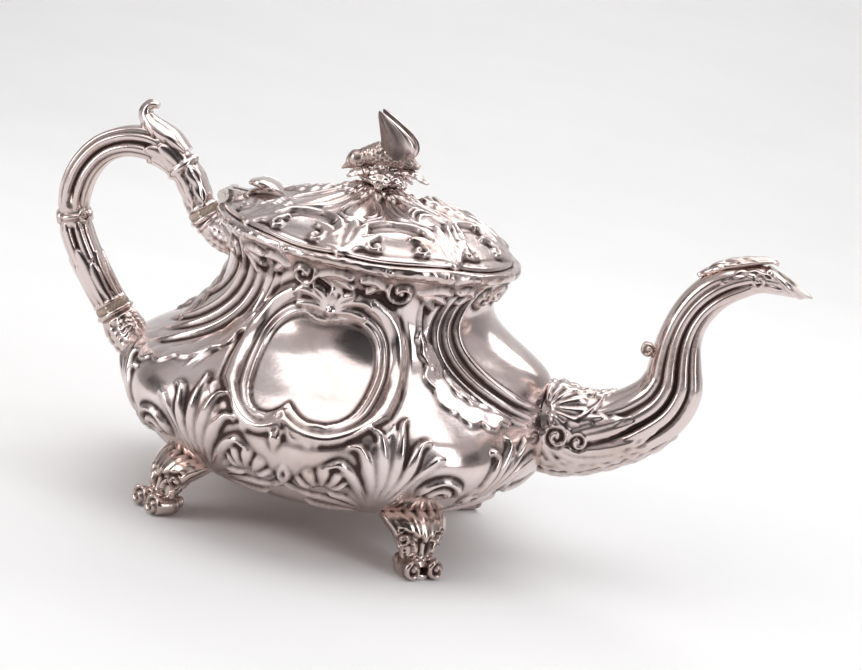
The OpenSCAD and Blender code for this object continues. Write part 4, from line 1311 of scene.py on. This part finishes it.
lamp("soft_top", (0.1, -0.1, 1.3), (0, 0, 0.08), (1.5, 1.1), 7)
lamp("soft_left", (-1.1, -0.7, 0.55), (0, 0, 0.07), (0.7, 0.9), 6.5, (1, 0.98, 0.96))
lamp("soft_right", (1.2, -0.5, 0.6), (0, 0, 0.07), (0.4, 1.0), 4, (0.97, 0.98, 1))
lamp("soft_back", (0.2, 0.8, 0.9), (0, 0, 0.08), (1.2, 0.4), 4)

# Room: a dark band above the horizon, bright overhead, and a dim doorway for the silver to mirror
DOORWAY = Vector((0.42, -0.72, 0.62)).normalized()
world = bpy.data.worlds.new("studio_room")
bpy.context.scene.world = world
world.use_nodes = True
room, room_link = world.node_tree.nodes, world.node_tree.links.new
sky = room["Background"]
facing = room.new("ShaderNodeTexCoord")
split = room.new("ShaderNodeSeparateXYZ")
room_link(facing.outputs["Generated"], split.inputs["Vector"])
bands = room.new("ShaderNodeValToRGB")
bands.color_ramp.elements[0].position = 0.0
bands.color_ramp.elements[0].color = (0.62, 0.58, 0.57, 1)
bands.color_ramp.elements[1].position = 1.0
bands.color_ramp.elements[1].color = (1.0, 1.0, 1.0, 1)
for place, shade in ((0.10, 0.42), (0.20, 0.16), (0.36, 0.22), (0.5, 0.85)):
    stop = bands.color_ramp.elements.new(place)
    stop.color = (shade, 0.95 * shade, 0.96 * shade, 1)
room_link(split.outputs["Z"], bands.inputs["Fac"])
doorway = add(room, "ShaderNodeVectorMath", operation="DOT_PRODUCT")
doorway.inputs[1].default_value = DOORWAY
room_link(facing.outputs["Generated"], doorway.inputs[0])
dim = add(room, "ShaderNodeMapRange", From_Min=0.87, From_Max=0.92, To_Min=1.0, To_Max=0.12)
room_link(doorway.outputs["Value"], dim.inputs["Value"])
seen = add(room, "ShaderNodeVectorMath", operation="SCALE")
room_link(bands.outputs["Color"], seen.inputs[0])
room_link(dim.outputs["Result"], seen.inputs["Scale"])
room_link(seen.outputs["Vector"], sky.inputs["Color"])
sky.inputs["Strength"].default_value = 0.6

# Camera: a long lens a little above the pot's middle, tipped sideways as the pot is seen leaning
AZIMUTH = math.radians(7)
ELEVATION = math.radians(12.5)
TIP = math.radians(12)
DISTANCE = 0.88
LENS = 91.1
SENSOR = 36
AIM_Z = 0.08
AIM_RIGHT = 0.0325
AIM_UP = 0.0012
back = Vector((math.sin(AZIMUTH) * math.cos(ELEVATION), -math.cos(AZIMUTH) * math.cos(ELEVATION),
               math.sin(ELEVATION)))
right = Vector((math.cos(AZIMUTH), math.sin(AZIMUTH), 0))
aim = Vector((0, 0, AIM_Z)) + AIM_RIGHT * right + Vector((0, 0, AIM_UP))
camera = bpy.data.cameras.new("camera")
camera.lens = LENS
camera.sensor_width = SENSOR
camera_holder = bpy.data.objects.new("camera", camera)
camera_holder.location = aim + back * DISTANCE
camera_holder.rotation_mode = "QUATERNION"
camera_holder.rotation_quaternion = (-back).to_track_quat("-Z", "Y") @ Quaternion((0, 0, 1), TIP)
bpy.context.scene.collection.objects.link(camera_holder)
bpy.context.scene.camera = camera_holder
bpy.context.scene.view_settings.view_transform = "Standard"
